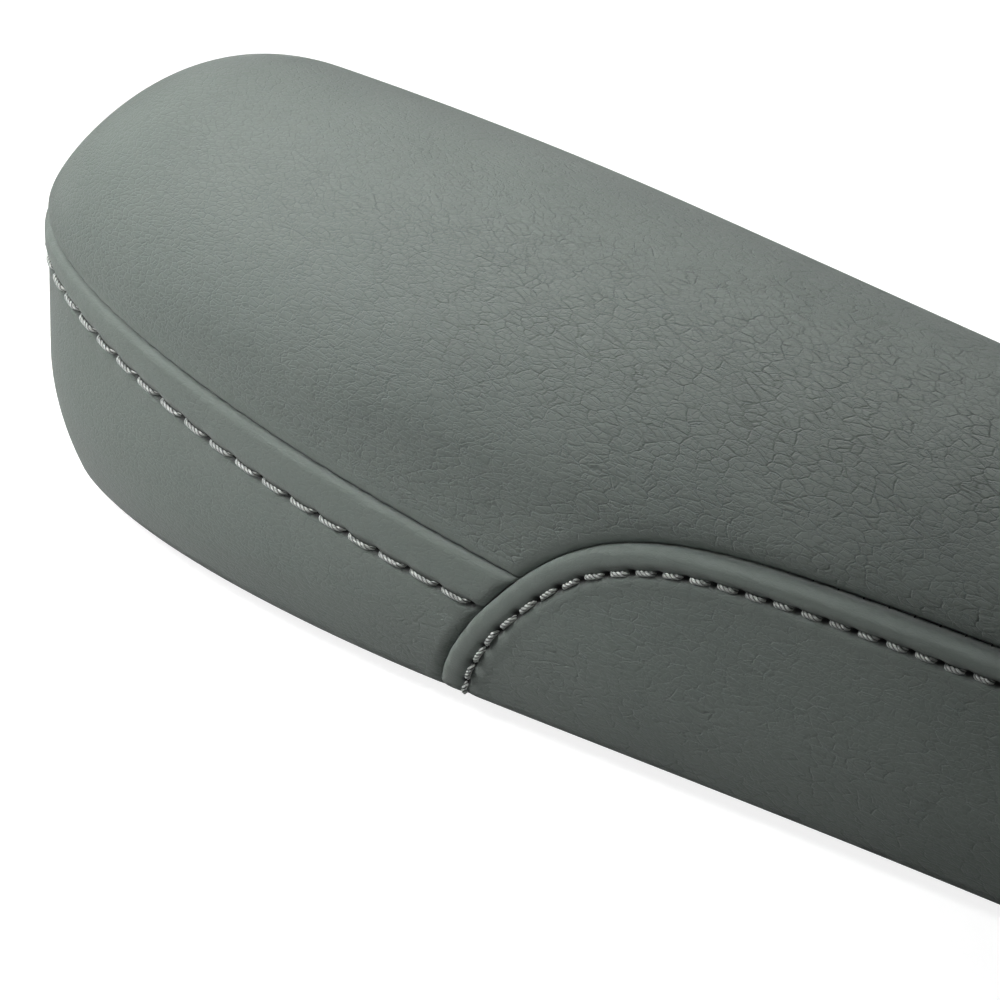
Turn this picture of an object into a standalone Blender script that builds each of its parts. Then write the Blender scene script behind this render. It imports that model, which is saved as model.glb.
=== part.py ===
"""Chair armrest pad: sewn leather panels over wadding, foam and a screw-on plywood board.

Frame: metres, +Z up, +Y along the pad from its rounded nose (-Y) to its tail (+Y), +X to the side.
The origin is the centre of the underside, on the surface that the pad is screwed down on.
"""

import math

import bmesh
import bpy
import numpy as np

# Overall size
LENGTH = 0.290
WIDTH = 0.072
HEIGHT = 0.0725

# Plan outline: a blunt bullet nose, sides that draw in towards the tail, and a rounder tail
NOSE_LENGTH = 0.106
NOSE_POWER = 2.48
TAIL_LENGTH = 0.040
TAIL_POWER = 2.4
SIDE_TAPER = 0.09
TAPER_BLEND = 0.020

# Side profile: a wall that tucks under at the bottom, and a crown above the shoulder
SHOULDER_HEIGHT = 0.0447
TUCK_DEPTH = 0.007
TUCK_HEIGHT = 0.022
EDGE_RADIUS = 0.003
CROWN_POWER = 1.7
CROWN_RISE_LENGTH = 0.040
CROWN_RISE_POWER = 1.9
CROWN_RISE_ROOT = 1.2
RIDGE_FRONT = 0.036
RIDGE_REAR = 0.026

# Seams
NOSE_SEAM_HEIGHT = 0.0443
NOSE_SEAM_FALL = 0.122
SIDE_SEAM_HEIGHT = 0.0443
SIDE_SEAM_START = 0.106
SIDE_SEAM_RISE = 0.030
SIDE_SEAM_POWER = 1.55
NOSE_STITCH_DROP = 0.0068
SIDE_STITCH_INSET = 0.0042

# Layers, from the outside in
LEATHER = 0.0012
WADDING = 0.003
BOARD_THICKNESS = 0.010
CORE_TOP = 0.040
DUST_COVER = 0.0006
FLANGE_WIDTH = 0.012
DUST_COVER_INSET = 0.013

# Thread and fasteners
TOPSTITCH_RADIUS = 0.00035
SEAM_THREAD_RADIUS = 0.00015
STAPLE_CROWN = 0.0095
STAPLE_LEG = 0.0065
STAPLE_WIRE = 0.0006
STAPLE_BAND = 0.001
NOSE_STAPLES = 10
SIDE_STAPLES = 11
STAPLE_MARGIN = 0.008
STAPLE_INSET = 0.0162
NUT_SPACING = 0.100
NUT_BORE_RADIUS = 0.0026
NUT_BARREL_RADIUS = 0.0039
NUT_FLANGE_RADIUS = 0.0095
NUT_FLANGE = 0.0014
NUT_BARREL_LENGTH = 0.0088
SCREW_ACCESS_RADIUS = 0.006

# Clearances
GAP = 0.0003
LAYER_GAP = 0.0005
LEG_CLEARANCE = 0.0003

# Where each layer lies, worked out from the sizes above
SEAM_GAP = 2 * (SEAM_THREAD_RADIUS + GAP)
FLANGE_Z = DUST_COVER + STAPLE_WIRE + 2 * GAP
BOARD_Z = FLANGE_Z + LEATHER + GAP
BOARD_TOP = BOARD_Z + BOARD_THICKNESS
WADDING_DEPTH = LEATHER + LAYER_GAP
FOAM_DEPTH = WADDING_DEPTH + WADDING + LAYER_GAP
BOARD_INSET = TUCK_DEPTH + FOAM_DEPTH

# Mesh fineness
TRACK_SAMPLES = 500
AROUND = 64
TUCK_STEPS = 5
DOME_STEPS = 7
THREAD_STEPS = 14
SIDE_STEPS = 5
RIDGE_SHARE = 0.97
DOME_BIAS = 1.6
CORNER_COLUMNS = 2.4
COLUMN_MARGIN = 0.002
LEVEL_RUN = 0.99
ROUND_SEGMENTS = 24
DOME_SPAN = 0.040
SLOPE_STEP = 0.0004

LEATHER_GREY = (0.175, 0.205, 0.190)
THREAD_GREY = (0.42, 0.44, 0.42)
MATERIALS = {
    "leather": (LEATHER_GREY, 0.55, 0.0),
    "thread": (THREAD_GREY, 0.70, 0.0),
    "wadding": ((0.86, 0.86, 0.84), 0.95, 0.0),
    "soft_foam": ((0.82, 0.78, 0.62), 0.90, 0.0),
    "firm_foam": ((0.55, 0.60, 0.66), 0.90, 0.0),
    "plywood": ((0.62, 0.47, 0.30), 0.75, 0.0),
    "black_felt": ((0.03, 0.03, 0.03), 0.95, 0.0),
    "zinc_steel": ((0.70, 0.71, 0.72), 0.35, 1.0),
}


def clear_scene():
    for obj in list(bpy.data.objects):
        bpy.data.objects.remove(obj)


def make_material(name):
    colour, roughness, metallic = MATERIALS[name]
    material = bpy.data.materials.get(name) or bpy.data.materials.new(name)
    material.use_nodes = True
    shader = material.node_tree.nodes["Principled BSDF"]
    shader.inputs["Base Color"].default_value = (*colour, 1.0)
    shader.inputs["Roughness"].default_value = roughness
    shader.inputs["Metallic"].default_value = metallic
    return material


def add_object(name, mesh, material, smooth=True):
    mesh.materials.append(make_material(material))
    if smooth:
        mesh.shade_smooth()
        mesh.set_sharp_from_angle(angle=math.radians(40))
    obj = bpy.data.objects.new(name, mesh)
    bpy.context.collection.objects.link(obj)
    return obj


# --- Plan outline -------------------------------------------------------------------------------


def half_width(along):
    """Half the pad's width at a distance along from the nose tip."""
    past = along - NOSE_LENGTH
    taper = SIDE_TAPER * 0.5 * (past + np.sqrt(past**2 + TAPER_BLEND**2))
    from_nose = np.clip(1 - along / NOSE_LENGTH, 0, 1)
    from_tail = np.clip(1 - (LENGTH - along) / TAIL_LENGTH, 0, 1)
    nose = (1 - from_nose**NOSE_POWER) ** (1 / NOSE_POWER)
    tail = (1 - from_tail**TAIL_POWER) ** (1 / TAIL_POWER)
    return (WIDTH / 2 - taper) * nose * tail


def make_track():
    """Arc length, x and y of the right half of the outline, from the nose tip to the tail tip."""
    ramp = np.linspace(0, 1, TRACK_SAMPLES)
    nose = NOSE_LENGTH * ramp**NOSE_POWER
    middle = np.linspace(NOSE_LENGTH, LENGTH - TAIL_LENGTH, TRACK_SAMPLES)[1:-1]
    tail = LENGTH - TAIL_LENGTH * ramp[::-1] ** TAIL_POWER
    along = np.concatenate([nose, middle, tail])
    x = half_width(along)
    steps = np.hypot(np.diff(x), np.diff(along))
    return np.concatenate([[0], np.cumsum(steps)]), x, along - LENGTH / 2


TRACK_S, TRACK_X, TRACK_Y = make_track()
HALF_LOOP = TRACK_S[-1]


def outline_point(s):
    """The outline at arc length s from the nose tip: positive on the +X side, negative on the other."""
    s = (s + HALF_LOOP) % (2 * HALF_LOOP) - HALF_LOOP
    x = np.interp(np.abs(s), TRACK_S, TRACK_X) * np.sign(s)
    y = np.interp(np.abs(s), TRACK_S, TRACK_Y)
    return np.stack([x, y], axis=-1)


def outline_tangent(s):
    step = outline_point(s + SLOPE_STEP) - outline_point(s - SLOPE_STEP)
    return step / np.linalg.norm(step, axis=-1, keepdims=True)


def ridge_point(edge):
    """The point of the crown's ridge, on the centre plane, that an outline point belongs to."""
    y = edge[..., 1] * (1 - (RIDGE_FRONT + RIDGE_REAR) / LENGTH) + (RIDGE_FRONT - RIDGE_REAR) / 2
    return np.stack([np.zeros_like(y), y], axis=-1)


def inset_outline(s, inset):
    """The outline moved inwards by inset, straight towards the ridge."""
    edge = outline_point(s)
    inward = ridge_point(edge) - edge
    inward /= np.linalg.norm(inward, axis=-1, keepdims=True)
    return edge + inward * np.asarray(inset)[..., None]


def s_at(along):
    """Arc length, on the +X side, at a distance along from the nose tip."""
    return float(np.interp(along - LENGTH / 2, TRACK_Y, TRACK_S))


# --- Outer surface ------------------------------------------------------------------------------


def tuck(z):
    return TUCK_DEPTH * (np.clip(TUCK_HEIGHT - z, 0, TUCK_HEIGHT) / TUCK_HEIGHT) ** 2


def wall_profile(t):
    """Inset and height at level t: the flange under the board below 0, then the wall, where t is height."""
    top = FLANGE_Z + EDGE_RADIUS
    ramp = np.clip((t + EDGE_RADIUS) / (top + EDGE_RADIUS), 0, 1)
    corner = tuck(0.0)
    bend = (1 - ramp) ** 2 * (corner + EDGE_RADIUS) + 2 * ramp * (1 - ramp) * corner + ramp**2 * tuck(top)
    rise = FLANGE_Z + ramp**2 * EDGE_RADIUS
    inset = np.where(t < -EDGE_RADIUS, corner - t, np.where(t < top, bend, tuck(t)))
    return inset, np.where(t < top, rise, t)


def crown(x, y):
    """Height above the shoulder: a rounded section that rises from the nose and from the tail."""
    along = y + LENGTH / 2
    from_end = np.minimum(along, LENGTH - along)
    rise = (1 - np.clip(1 - from_end / CROWN_RISE_LENGTH, 0, 1) ** CROWN_RISE_POWER) ** (1 / CROWN_RISE_ROOT)
    across = np.clip(np.abs(x) / np.maximum(half_width(along), 1e-6), 0, 1)
    return (HEIGHT - SHOULDER_HEIGHT) * rise * (1 - across**2) ** (1 / CROWN_POWER)


def surface(s, t):
    """Outer surface at arc length s and level t. Past the shoulder, t runs over the crown to its ridge."""
    s, t = np.broadcast_arrays(s, t)
    inset, wall_z = wall_profile(np.minimum(t, SHOULDER_HEIGHT))
    edge = inset_outline(s, inset)
    share = np.clip((t - SHOULDER_HEIGHT) / DOME_SPAN, 0, 1)
    plan = edge + (ridge_point(outline_point(s)) - edge) * share[..., None]
    z = wall_z + np.where(share > 0, crown(plan[..., 0], plan[..., 1]), 0.0)
    return np.concatenate([plan, z[..., None]], axis=-1)


def normal(s, t):
    """Outward unit normal of the outer surface, taken just short of the ridge, where it stays defined."""
    s, t = np.broadcast_arrays(s, t)
    t = np.minimum(t, SHOULDER_HEIGHT + RIDGE_SHARE * DOME_SPAN)
    across = surface(s + SLOPE_STEP, t) - surface(s - SLOPE_STEP, t)
    up = surface(s, t + SLOPE_STEP) - surface(s, t - SLOPE_STEP)
    found = np.cross(across, up)
    return found / np.linalg.norm(found, axis=-1, keepdims=True)


def skin(s, t, depth):
    """The outer surface moved inwards by depth. The points on the ridge stay on the centre plane."""
    s, t = np.broadcast_arrays(s, t)
    points = surface(s, t) - normal(s, t) * depth
    on_ridge = t >= SHOULDER_HEIGHT + DOME_SPAN - 1e-9
    points[..., 0] = np.where(on_ridge, 0.0, points[..., 0])
    return points


def flange_levels():
    """Levels from the flange's inner edge to the top of the edge radius."""
    top = FLANGE_Z + EDGE_RADIUS
    return np.array([-FLANGE_WIDTH, -EDGE_RADIUS, -EDGE_RADIUS * 0.2, top * 0.45, top])


def tuck_levels():
    """Levels up the tucked part of the wall, which every layer shares so that their facets stay parallel."""
    return np.linspace(FLANGE_Z + EDGE_RADIUS, TUCK_HEIGHT, TUCK_STEPS)


def dome_levels():
    """Levels from the shoulder to the ridge, closer together near the shoulder."""
    return SHOULDER_HEIGHT + DOME_SPAN * np.linspace(0, 1, DOME_STEPS) ** DOME_BIAS


def loop_columns(count):
    """Arc lengths all the way round, the same on both sides, and closer together where the outline turns
    and where the side panels' corners lie.
    """
    s = np.linspace(0, HALF_LOOP, TRACK_SAMPLES)
    tangent = outline_tangent(s)
    turn = np.abs(np.unwrap(np.arctan2(tangent[:, 1], tangent[:, 0])))
    corner = (s > s_at(SIDE_SEAM_START)) & (s < s_at(SIDE_SEAM_START) + 2 * SIDE_SEAM_RISE)
    pace = np.abs(np.gradient(turn)) / math.pi + np.where(corner, CORNER_COLUMNS, 1.0) / TRACK_SAMPLES
    done = np.concatenate([[0], np.cumsum((pace[1:] + pace[:-1]) / 2)])
    half = np.interp(np.linspace(0, done[-1], count // 2 + 1), done, s)
    return np.concatenate([-half[:0:-1], half[:-1]])


# --- Seam lines ---------------------------------------------------------------------------------


def nose_seam(s):
    """Level of the seam between the nose band and the top panel."""
    along = outline_point(np.asarray(s, float))[..., 1] + LENGTH / 2
    return NOSE_SEAM_HEIGHT - NOSE_SEAM_FALL * along


def side_seam(s):
    """Level of the side panel's edge: a slanted front, a rounded corner and a level run to the tail."""
    past = np.clip(np.abs(s) - s_at(SIDE_SEAM_START), 0, None)
    return SIDE_SEAM_HEIGHT * (1 - np.exp(-((past / SIDE_SEAM_RISE) ** SIDE_SEAM_POWER)))


def side_seam_s(t):
    """Arc length at which the side panel's front edge reaches level t."""
    share = np.clip(t / SIDE_SEAM_HEIGHT, 0, LEVEL_RUN)
    return s_at(SIDE_SEAM_START) + SIDE_SEAM_RISE * (-np.log(1 - share)) ** (1 / SIDE_SEAM_POWER)


def find_junction():
    """Arc length where the nose seam runs into the side panel's front edge."""
    s = np.linspace(s_at(SIDE_SEAM_START), s_at(LENGTH - TAIL_LENGTH), 4000)
    return float(s[np.argmax(side_seam(s) > nose_seam(s))])


JUNCTION_S = find_junction()


# --- Mesh builders ------------------------------------------------------------------------------


def close_mesh(name, vertices, faces):
    """A mesh from points and faces, with coinciding points joined and faces turned outwards."""
    mesh = bpy.data.meshes.new(name)
    mesh.from_pydata([tuple(point) for point in vertices], [], faces)
    bm = bmesh.new()
    bm.from_mesh(mesh)
    bmesh.ops.remove_doubles(bm, verts=bm.verts, dist=1e-6)
    bmesh.ops.dissolve_degenerate(bm, edges=bm.edges, dist=1e-7)
    bmesh.ops.recalc_face_normals(bm, faces=bm.faces)
    if bm.calc_volume(signed=True) < 0:
        bmesh.ops.reverse_faces(bm, faces=bm.faces)
    bm.to_mesh(mesh)
    bm.free()
    return mesh


def grid_faces(columns, rows, start, wraps, turned):
    """Quads of a grid whose points are numbered column by column from start."""
    faces = []
    for i in range(columns if wraps else columns - 1):
        for j in range(rows - 1):
            a = start + i * rows + j
            b = start + (i + 1) % columns * rows + j
            quad = (a, b, b + 1, a + 1)
            faces.append(quad[::-1] if turned else quad)
    return faces


def shell(name, outer, inner, wraps):
    """A closed solid between two grids of points. A wrapping grid meets itself and is closed at its ridge."""
    columns, rows = outer.shape[:2]
    count = columns * rows
    faces = grid_faces(columns, rows, 0, wraps, False) + grid_faces(columns, rows, count, wraps, True)
    rim = [i * rows for i in range(columns)]
    if wraps:
        border = rim + rim[:1]
    else:
        last = (columns - 1) * rows
        border = rim + [last + j for j in range(1, rows)]
        border += [i * rows + rows - 1 for i in range(columns - 2, -1, -1)]
        border += [j for j in range(rows - 2, -1, -1)]
    faces += [(b, a, a + count, b + count) for a, b in zip(border, border[1:])]
    points = np.concatenate([outer.reshape(-1, 3), inner.reshape(-1, 3)])
    return close_mesh(name, points, faces)


def slab(name, loop, low, high):
    """A flat plate with a closed outline, between two heights."""
    count = len(loop)
    points = [(x, y, low) for x, y in loop] + [(x, y, high) for x, y in loop]
    faces = [tuple(range(count)), tuple(range(count, 2 * count))]
    faces += [(i, (i + 1) % count, (i + 1) % count + count, i + count) for i in range(count)]
    return close_mesh(name, points, faces)


def cut(obj, cutter):
    """Takes cutter, an object that is left out of the part, away from obj."""
    cutter.hide_render = True
    cutter.display_type = "WIRE"
    modifier = obj.modifiers.new(f"cut_{cutter.name}", "BOOLEAN")
    modifier.operation = "DIFFERENCE"
    modifier.solver = "EXACT"
    modifier.object = cutter


def thread(name, points, radius):
    """A tube of thread along a list of points."""
    curve = bpy.data.curves.new(name, "CURVE")
    curve.dimensions = "3D"
    curve.bevel_depth = radius
    curve.bevel_resolution = 0
    curve.use_fill_caps = True
    spline = curve.splines.new("POLY")
    spline.points.add(len(points) - 1)
    for place, point in zip(spline.points, points):
        place.co = (*point, 1.0)
    curve.materials.append(make_material("thread"))
    obj = bpy.data.objects.new(name, curve)
    bpy.context.collection.objects.link(obj)


# --- Leather ------------------------------------------------------------------------------------


def add_top_panel():
    """The crowned panel, which comes down over the shoulder to the seams."""
    s = loop_columns(AROUND)[:, None]
    low = np.maximum(nose_seam(s), side_seam(s)) + SEAM_GAP / 2
    middle = (low + SHOULDER_HEIGHT) / 2
    dome = np.broadcast_to(dome_levels(), (len(s), DOME_STEPS))
    levels = np.concatenate([low, middle, dome], axis=1)
    mesh = shell("top_panel", skin(s, levels, 0), skin(s, levels, LEATHER), wraps=True)
    add_object("top_panel", mesh, "leather")


def stretch(s, pivot, old_end, new_end):
    """Moves the arc lengths between pivot and old_end so that old_end lands on new_end."""
    scale = (new_end - pivot) / (old_end - pivot)
    return np.where((s - pivot) * (old_end - pivot) > 0, pivot + (s - pivot) * scale, s)


def add_nose_band():
    """The border round the nose, from one side panel's slanted edge to the other's."""
    fixed = np.concatenate([flange_levels()[:-1], tuck_levels()])
    shares = np.linspace(0, 1, 4)[1:]
    dense = np.linspace(s_at(SIDE_SEAM_START), JUNCTION_S, 4 * TRACK_SAMPLES)
    ends = []
    for share in shares:
        level = fixed[-1] + share * (nose_seam(dense) - SEAM_GAP / 2 - fixed[-1])
        ends.append(dense[np.argmin(np.abs(level - side_seam(dense)))])
    reach = np.concatenate([side_seam_s(np.clip(fixed, 0, None)), ends]) - SEAM_GAP * 0.75
    half = loop_columns(AROUND)
    half = half[(half >= 0) & (half < JUNCTION_S - COLUMN_MARGIN)]
    half = np.append(half, JUNCTION_S)
    half = stretch(half[:, None], NOSE_LENGTH * 0.8, JUNCTION_S, reach[None, :])
    s = np.concatenate([-half[:0:-1], half])
    high = nose_seam(s) - SEAM_GAP / 2
    share = np.concatenate([np.zeros(len(fixed)), shares])[None, :]
    base = np.concatenate([fixed, np.full(len(shares), fixed[-1])])[None, :]
    levels = base + share * (high - base)
    mesh = shell("nose_band", skin(s, levels, 0), skin(s, levels, LEATHER), wraps=False)
    add_object("nose_band", mesh, "leather")


def side_levels():
    """Levels of a side panel's rows, from the flange's edge up to the seam above it."""
    fixed = np.concatenate([flange_levels()[:-1], tuck_levels()])
    top = SIDE_SEAM_HEIGHT * LEVEL_RUN - SEAM_GAP / 2
    return np.concatenate([fixed, np.linspace(fixed[-1], top, SIDE_STEPS + 1)[1:]])


def add_side_panel(name, side):
    """A side panel, from its slanted front edge to the seam at the middle of the tail."""
    levels = side_levels()
    front = side_seam_s(np.clip(levels + SEAM_GAP / 2, 0, None)) + SEAM_GAP * 0.5
    rear = HALF_LOOP - SEAM_GAP / 2
    columns = loop_columns(AROUND)
    columns = columns[(columns > JUNCTION_S) & (columns < HALF_LOOP - COLUMN_MARGIN)]
    columns = np.concatenate([[JUNCTION_S], columns, [rear]])
    s = stretch(columns[:, None], HALF_LOOP - TAIL_LENGTH, JUNCTION_S, front[None, :]) * side
    t = np.broadcast_to(levels[None, :], s.shape)
    mesh = shell(name, skin(s, t, 0), skin(s, t, LEATHER), wraps=False)
    add_object(name, mesh, "leather")


# --- Thread -------------------------------------------------------------------------------------


def surface_line(s, t, lift):
    return surface(s, t) + normal(s, t) * lift


def thread_columns(start, end):
    """The panels' own columns between two arc lengths, and those two, so that a thread bends as they do."""
    s = loop_columns(AROUND)
    spare = (end - start) / AROUND / 2
    return np.concatenate([[start], s[(s > start + spare) & (s < end - spare)], [end]])


def add_threads():
    lift = TOPSTITCH_RADIUS + GAP
    sunk = -LEATHER / 2
    reach = side_seam_s(nose_seam(np.array(JUNCTION_S)) - NOSE_STITCH_DROP) - 2 * SEAM_GAP
    s = thread_columns(-reach, reach)
    thread("topstitch_nose", surface_line(s, nose_seam(s) - NOSE_STITCH_DROP, lift), TOPSTITCH_RADIUS)
    s = thread_columns(2 * SEAM_GAP - JUNCTION_S, JUNCTION_S - 2 * SEAM_GAP)
    thread("seam_thread_nose", surface_line(s, nose_seam(s), sunk), SEAM_THREAD_RADIUS)
    for name, side in (("right", 1), ("left", -1)):
        rise = side_levels()
        rise = rise[(rise > FLANGE_Z) & (rise < side_seam(JUNCTION_S))]
        rise = np.concatenate([[FLANGE_Z], rise])
        run = thread_columns(side_seam_s(rise[-1]), HALF_LOOP - 4 * SEAM_GAP)[1:]
        s = np.concatenate([side_seam_s(rise), run])
        t = np.concatenate([rise, side_seam(run)])
        thread(f"seam_thread_{name}", surface_line(s * side, t, sunk), SEAM_THREAD_RADIUS)
        ds = np.gradient(s)
        dt = np.gradient(t)
        norm = np.hypot(ds, dt)
        s_in = s + SIDE_STITCH_INSET * dt / norm
        t_in = t - SIDE_STITCH_INSET * ds / norm
        keep = t_in > FLANGE_Z
        points = surface_line(s_in[keep] * side, t_in[keep], lift)
        thread(f"topstitch_{name}", points, TOPSTITCH_RADIUS)
    t = np.linspace(FLANGE_Z, SIDE_SEAM_HEIGHT - 2 * SEAM_GAP, THREAD_STEPS)
    thread("seam_thread_tail", surface_line(np.full(len(t), HALF_LOOP), t, sunk), SEAM_THREAD_RADIUS)


# --- Filling ------------------------------------------------------------------------------------


def add_wadding():
    """A polyester wrap that covers the foam and the board's edge."""
    s = loop_columns(AROUND)[:, None]
    start = FLANGE_Z + 2 * EDGE_RADIUS
    levels = tuck_levels()
    t = np.concatenate([[start], levels[levels > start + GAP], dome_levels()])[None, :]
    outer = skin(s, t, WADDING_DEPTH)
    inner = skin(s, t, WADDING_DEPTH + WADDING)
    for grid in (outer, inner):
        grid[:, 0, 2] = start
    add_object("wadding", shell("wadding", outer, inner, wraps=True), "wadding")


def foam_block(name, levels, base_z, top_z, material):
    """A solid block of foam. Its first row lies flat at base_z, and its last at top_z if that is given."""
    s = loop_columns(AROUND)[:, None]
    grid = skin(s, levels[None, :], FOAM_DEPTH)
    grid[:, 0, 2] = base_z
    columns, rows = grid.shape[:2]
    faces = grid_faces(columns, rows, 0, True, False)
    faces.append(tuple(i * rows for i in range(columns)))
    if top_z is not None:
        grid[:, -1, 2] = top_z
        faces.append(tuple(i * rows + rows - 1 for i in range(columns)))
    return add_object(name, close_mesh(name, grid.reshape(-1, 3), faces), material)


def add_foam():
    wall = np.array([CORE_TOP + GAP, SHOULDER_HEIGHT - GAP])
    foam_block("soft_topper", np.concatenate([wall, dome_levels()[1:]]), CORE_TOP + GAP, None, "soft_foam")
    low = BOARD_TOP + GAP
    levels = tuck_levels()
    levels = np.concatenate([[low], levels[levels > low + GAP], [CORE_TOP]])
    core = foam_block("firm_core", levels, low, CORE_TOP, "firm_foam")
    for index, y in enumerate(nut_places()):
        radius = NUT_FLANGE_RADIUS + GAP
        cut(core, cylinder(f"core_pocket_{index}", radius, low - GAP, low + NUT_FLANGE + GAP, y))


# --- Board, nuts, cover and staples -------------------------------------------------------------


def nut_places():
    return (-NUT_SPACING / 2, NUT_SPACING / 2)


def cylinder(name, radius, low, high, y):
    """A round cutter or post on the centre plane, as a mesh object."""
    bm = bmesh.new()
    bmesh.ops.create_cone(
        bm, cap_ends=True, segments=ROUND_SEGMENTS, radius1=radius, radius2=radius, depth=high - low
    )
    bmesh.ops.translate(bm, verts=bm.verts, vec=(0, y, (low + high) / 2))
    mesh = bpy.data.meshes.new(name)
    bm.to_mesh(mesh)
    bm.free()
    obj = bpy.data.objects.new(name, mesh)
    bpy.context.collection.objects.link(obj)
    return obj


def even_places(start, end, count):
    """Arc lengths between start and end that are evenly spaced along the line of staples."""
    s = np.linspace(start, end, TRACK_SAMPLES)
    line = inset_outline(s, np.full(len(s), STAPLE_INSET))
    done = np.concatenate([[0], np.cumsum(np.linalg.norm(np.diff(line, axis=0), axis=1))])
    return np.interp(np.linspace(STAPLE_MARGIN, done[-1] - STAPLE_MARGIN, count), done, s)


def staple_places():
    """(name, arc length, base height of the crown, leg length) of each staple, panel by panel.

    Most hold a leather flange. The fewer that hold the dust cover stand between them.
    """
    joint = s_at(SIDE_SEAM_START)
    nose = even_places(-joint, joint, NOSE_STAPLES)
    side = even_places(joint, HALF_LOOP, SIDE_STAPLES)
    order = [(s, index in (1, NOSE_STAPLES - 2)) for index, s in enumerate(nose)]
    order += [(s, index % 4 == 1) for index, s in enumerate(side)]
    order += [(-s, index % 4 == 1) for index, s in enumerate(side)]
    places = []
    for s, holds_cover in order:
        kind = "cover" if holds_cover else "flange"
        number = sum(name.startswith(kind) for name, *_ in places) + 1
        base = 0.0 if holds_cover else DUST_COVER + GAP
        leg = STAPLE_LEG + (DUST_COVER + GAP if holds_cover else 0.0)
        places.append((f"{kind}_staple_{number:02d}", s, base, leg))
    return places


def box_points(low, high):
    return [(x, y, z) for x in (low[0], high[0]) for y in (low[1], high[1]) for z in (low[2], high[2])]


BOX_FACES = [(0, 1, 3, 2), (4, 6, 7, 5), (0, 4, 5, 1), (2, 3, 7, 6), (0, 2, 6, 4), (1, 5, 7, 3)]


def place_on_flange(points, s):
    """Turns points whose x runs along the outline and whose y runs inwards, and moves them to arc length s."""
    origin = inset_outline(np.array(s), np.array(STAPLE_INSET))
    tangent = outline_tangent(np.array(s))
    inward = np.array([-tangent[1], tangent[0]])
    placed = []
    for x, y, z in points:
        plan = origin + tangent * x + inward * y
        placed.append((plan[0], plan[1], z))
    return placed


def staple_mesh(name, s, base, leg):
    """A staple of flat wire: a crown along the flange, and two legs that go up into the board."""
    half = STAPLE_CROWN / 2
    inner = half - STAPLE_BAND
    top = base + leg
    bend = base + STAPLE_WIRE
    section = [
        (-half, base),
        (half, base),
        (half, top),
        (inner, top),
        (inner, bend),
        (-inner, bend),
        (-inner, top),
        (-half, top),
    ]
    count = len(section)
    front = [(x, -STAPLE_BAND / 2, z) for x, z in section]
    back = [(x, STAPLE_BAND / 2, z) for x, z in section]
    faces = [tuple(range(count)), tuple(range(count, 2 * count))]
    faces += [(i, (i + 1) % count, (i + 1) % count + count, i + count) for i in range(count)]
    return close_mesh(name, place_on_flange(front + back, s), faces)


def add_staples():
    for name, s, base, leg in staple_places():
        add_object(name, staple_mesh(name, s, base, leg), "zinc_steel", smooth=False)


def box_cutter(name, boxes):
    """One cutter made of many separate boxes."""
    points = []
    faces = []
    for corners in boxes:
        start = len(points)
        points += corners
        faces += [tuple(start + index for index in face) for face in BOX_FACES]
    mesh = close_mesh(name, points, faces)
    obj = bpy.data.objects.new(name, mesh)
    bpy.context.collection.objects.link(obj)
    return obj


def leg_holes(name, low, clear_top):
    """A cutter for every staple leg, from height low to clear_top above the tip of the leg."""
    boxes = []
    half = STAPLE_CROWN / 2
    pad = LEG_CLEARANCE
    for _, s, base, leg in staple_places():
        for side in (-1, 1):
            outer = side * (half + pad)
            inner = side * (half - STAPLE_BAND - pad)
            corner = (min(outer, inner), -STAPLE_BAND / 2 - pad, low)
            opposite = (max(outer, inner), STAPLE_BAND / 2 + pad, base + leg + clear_top)
            boxes.append(place_on_flange(box_points(corner, opposite), s))
    return box_cutter(name, boxes)


def cover_slots(name):
    """A cutter for the slots in the dust cover that its own staples lie in."""
    boxes = []
    pad = LEG_CLEARANCE
    for staple, s, _, _ in staple_places():
        if staple.startswith("cover"):
            corner = (-STAPLE_CROWN / 2 - pad, -STAPLE_BAND / 2 - pad, -DUST_COVER)
            opposite = (STAPLE_CROWN / 2 + pad, STAPLE_BAND / 2 + pad, 2 * DUST_COVER)
            boxes.append(place_on_flange(box_points(corner, opposite), s))
    return box_cutter(name, boxes)


def add_board():
    s = loop_columns(AROUND)
    loop = inset_outline(s, np.full(len(s), BOARD_INSET))
    board = add_object("base_board", slab("base_board", loop, BOARD_Z, BOARD_TOP), "plywood")
    for index, y in enumerate(nut_places()):
        radius = NUT_BARREL_RADIUS + GAP
        cut(board, cylinder(f"board_hole_{index}", radius, BOARD_Z - GAP, BOARD_TOP + GAP, y))
    cut(board, leg_holes("board_leg_holes", BOARD_Z - GAP, LEG_CLEARANCE))


def add_dust_cover():
    s = loop_columns(AROUND)
    loop = inset_outline(s, np.full(len(s), DUST_COVER_INSET))
    cover = add_object("dust_cover", slab("dust_cover", loop, 0.0, DUST_COVER), "black_felt")
    for index, y in enumerate(nut_places()):
        cut(cover, cylinder(f"cover_hole_{index}", SCREW_ACCESS_RADIUS, -DUST_COVER, 2 * DUST_COVER, y))
    cut(cover, cover_slots("cover_staple_slots"))


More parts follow.
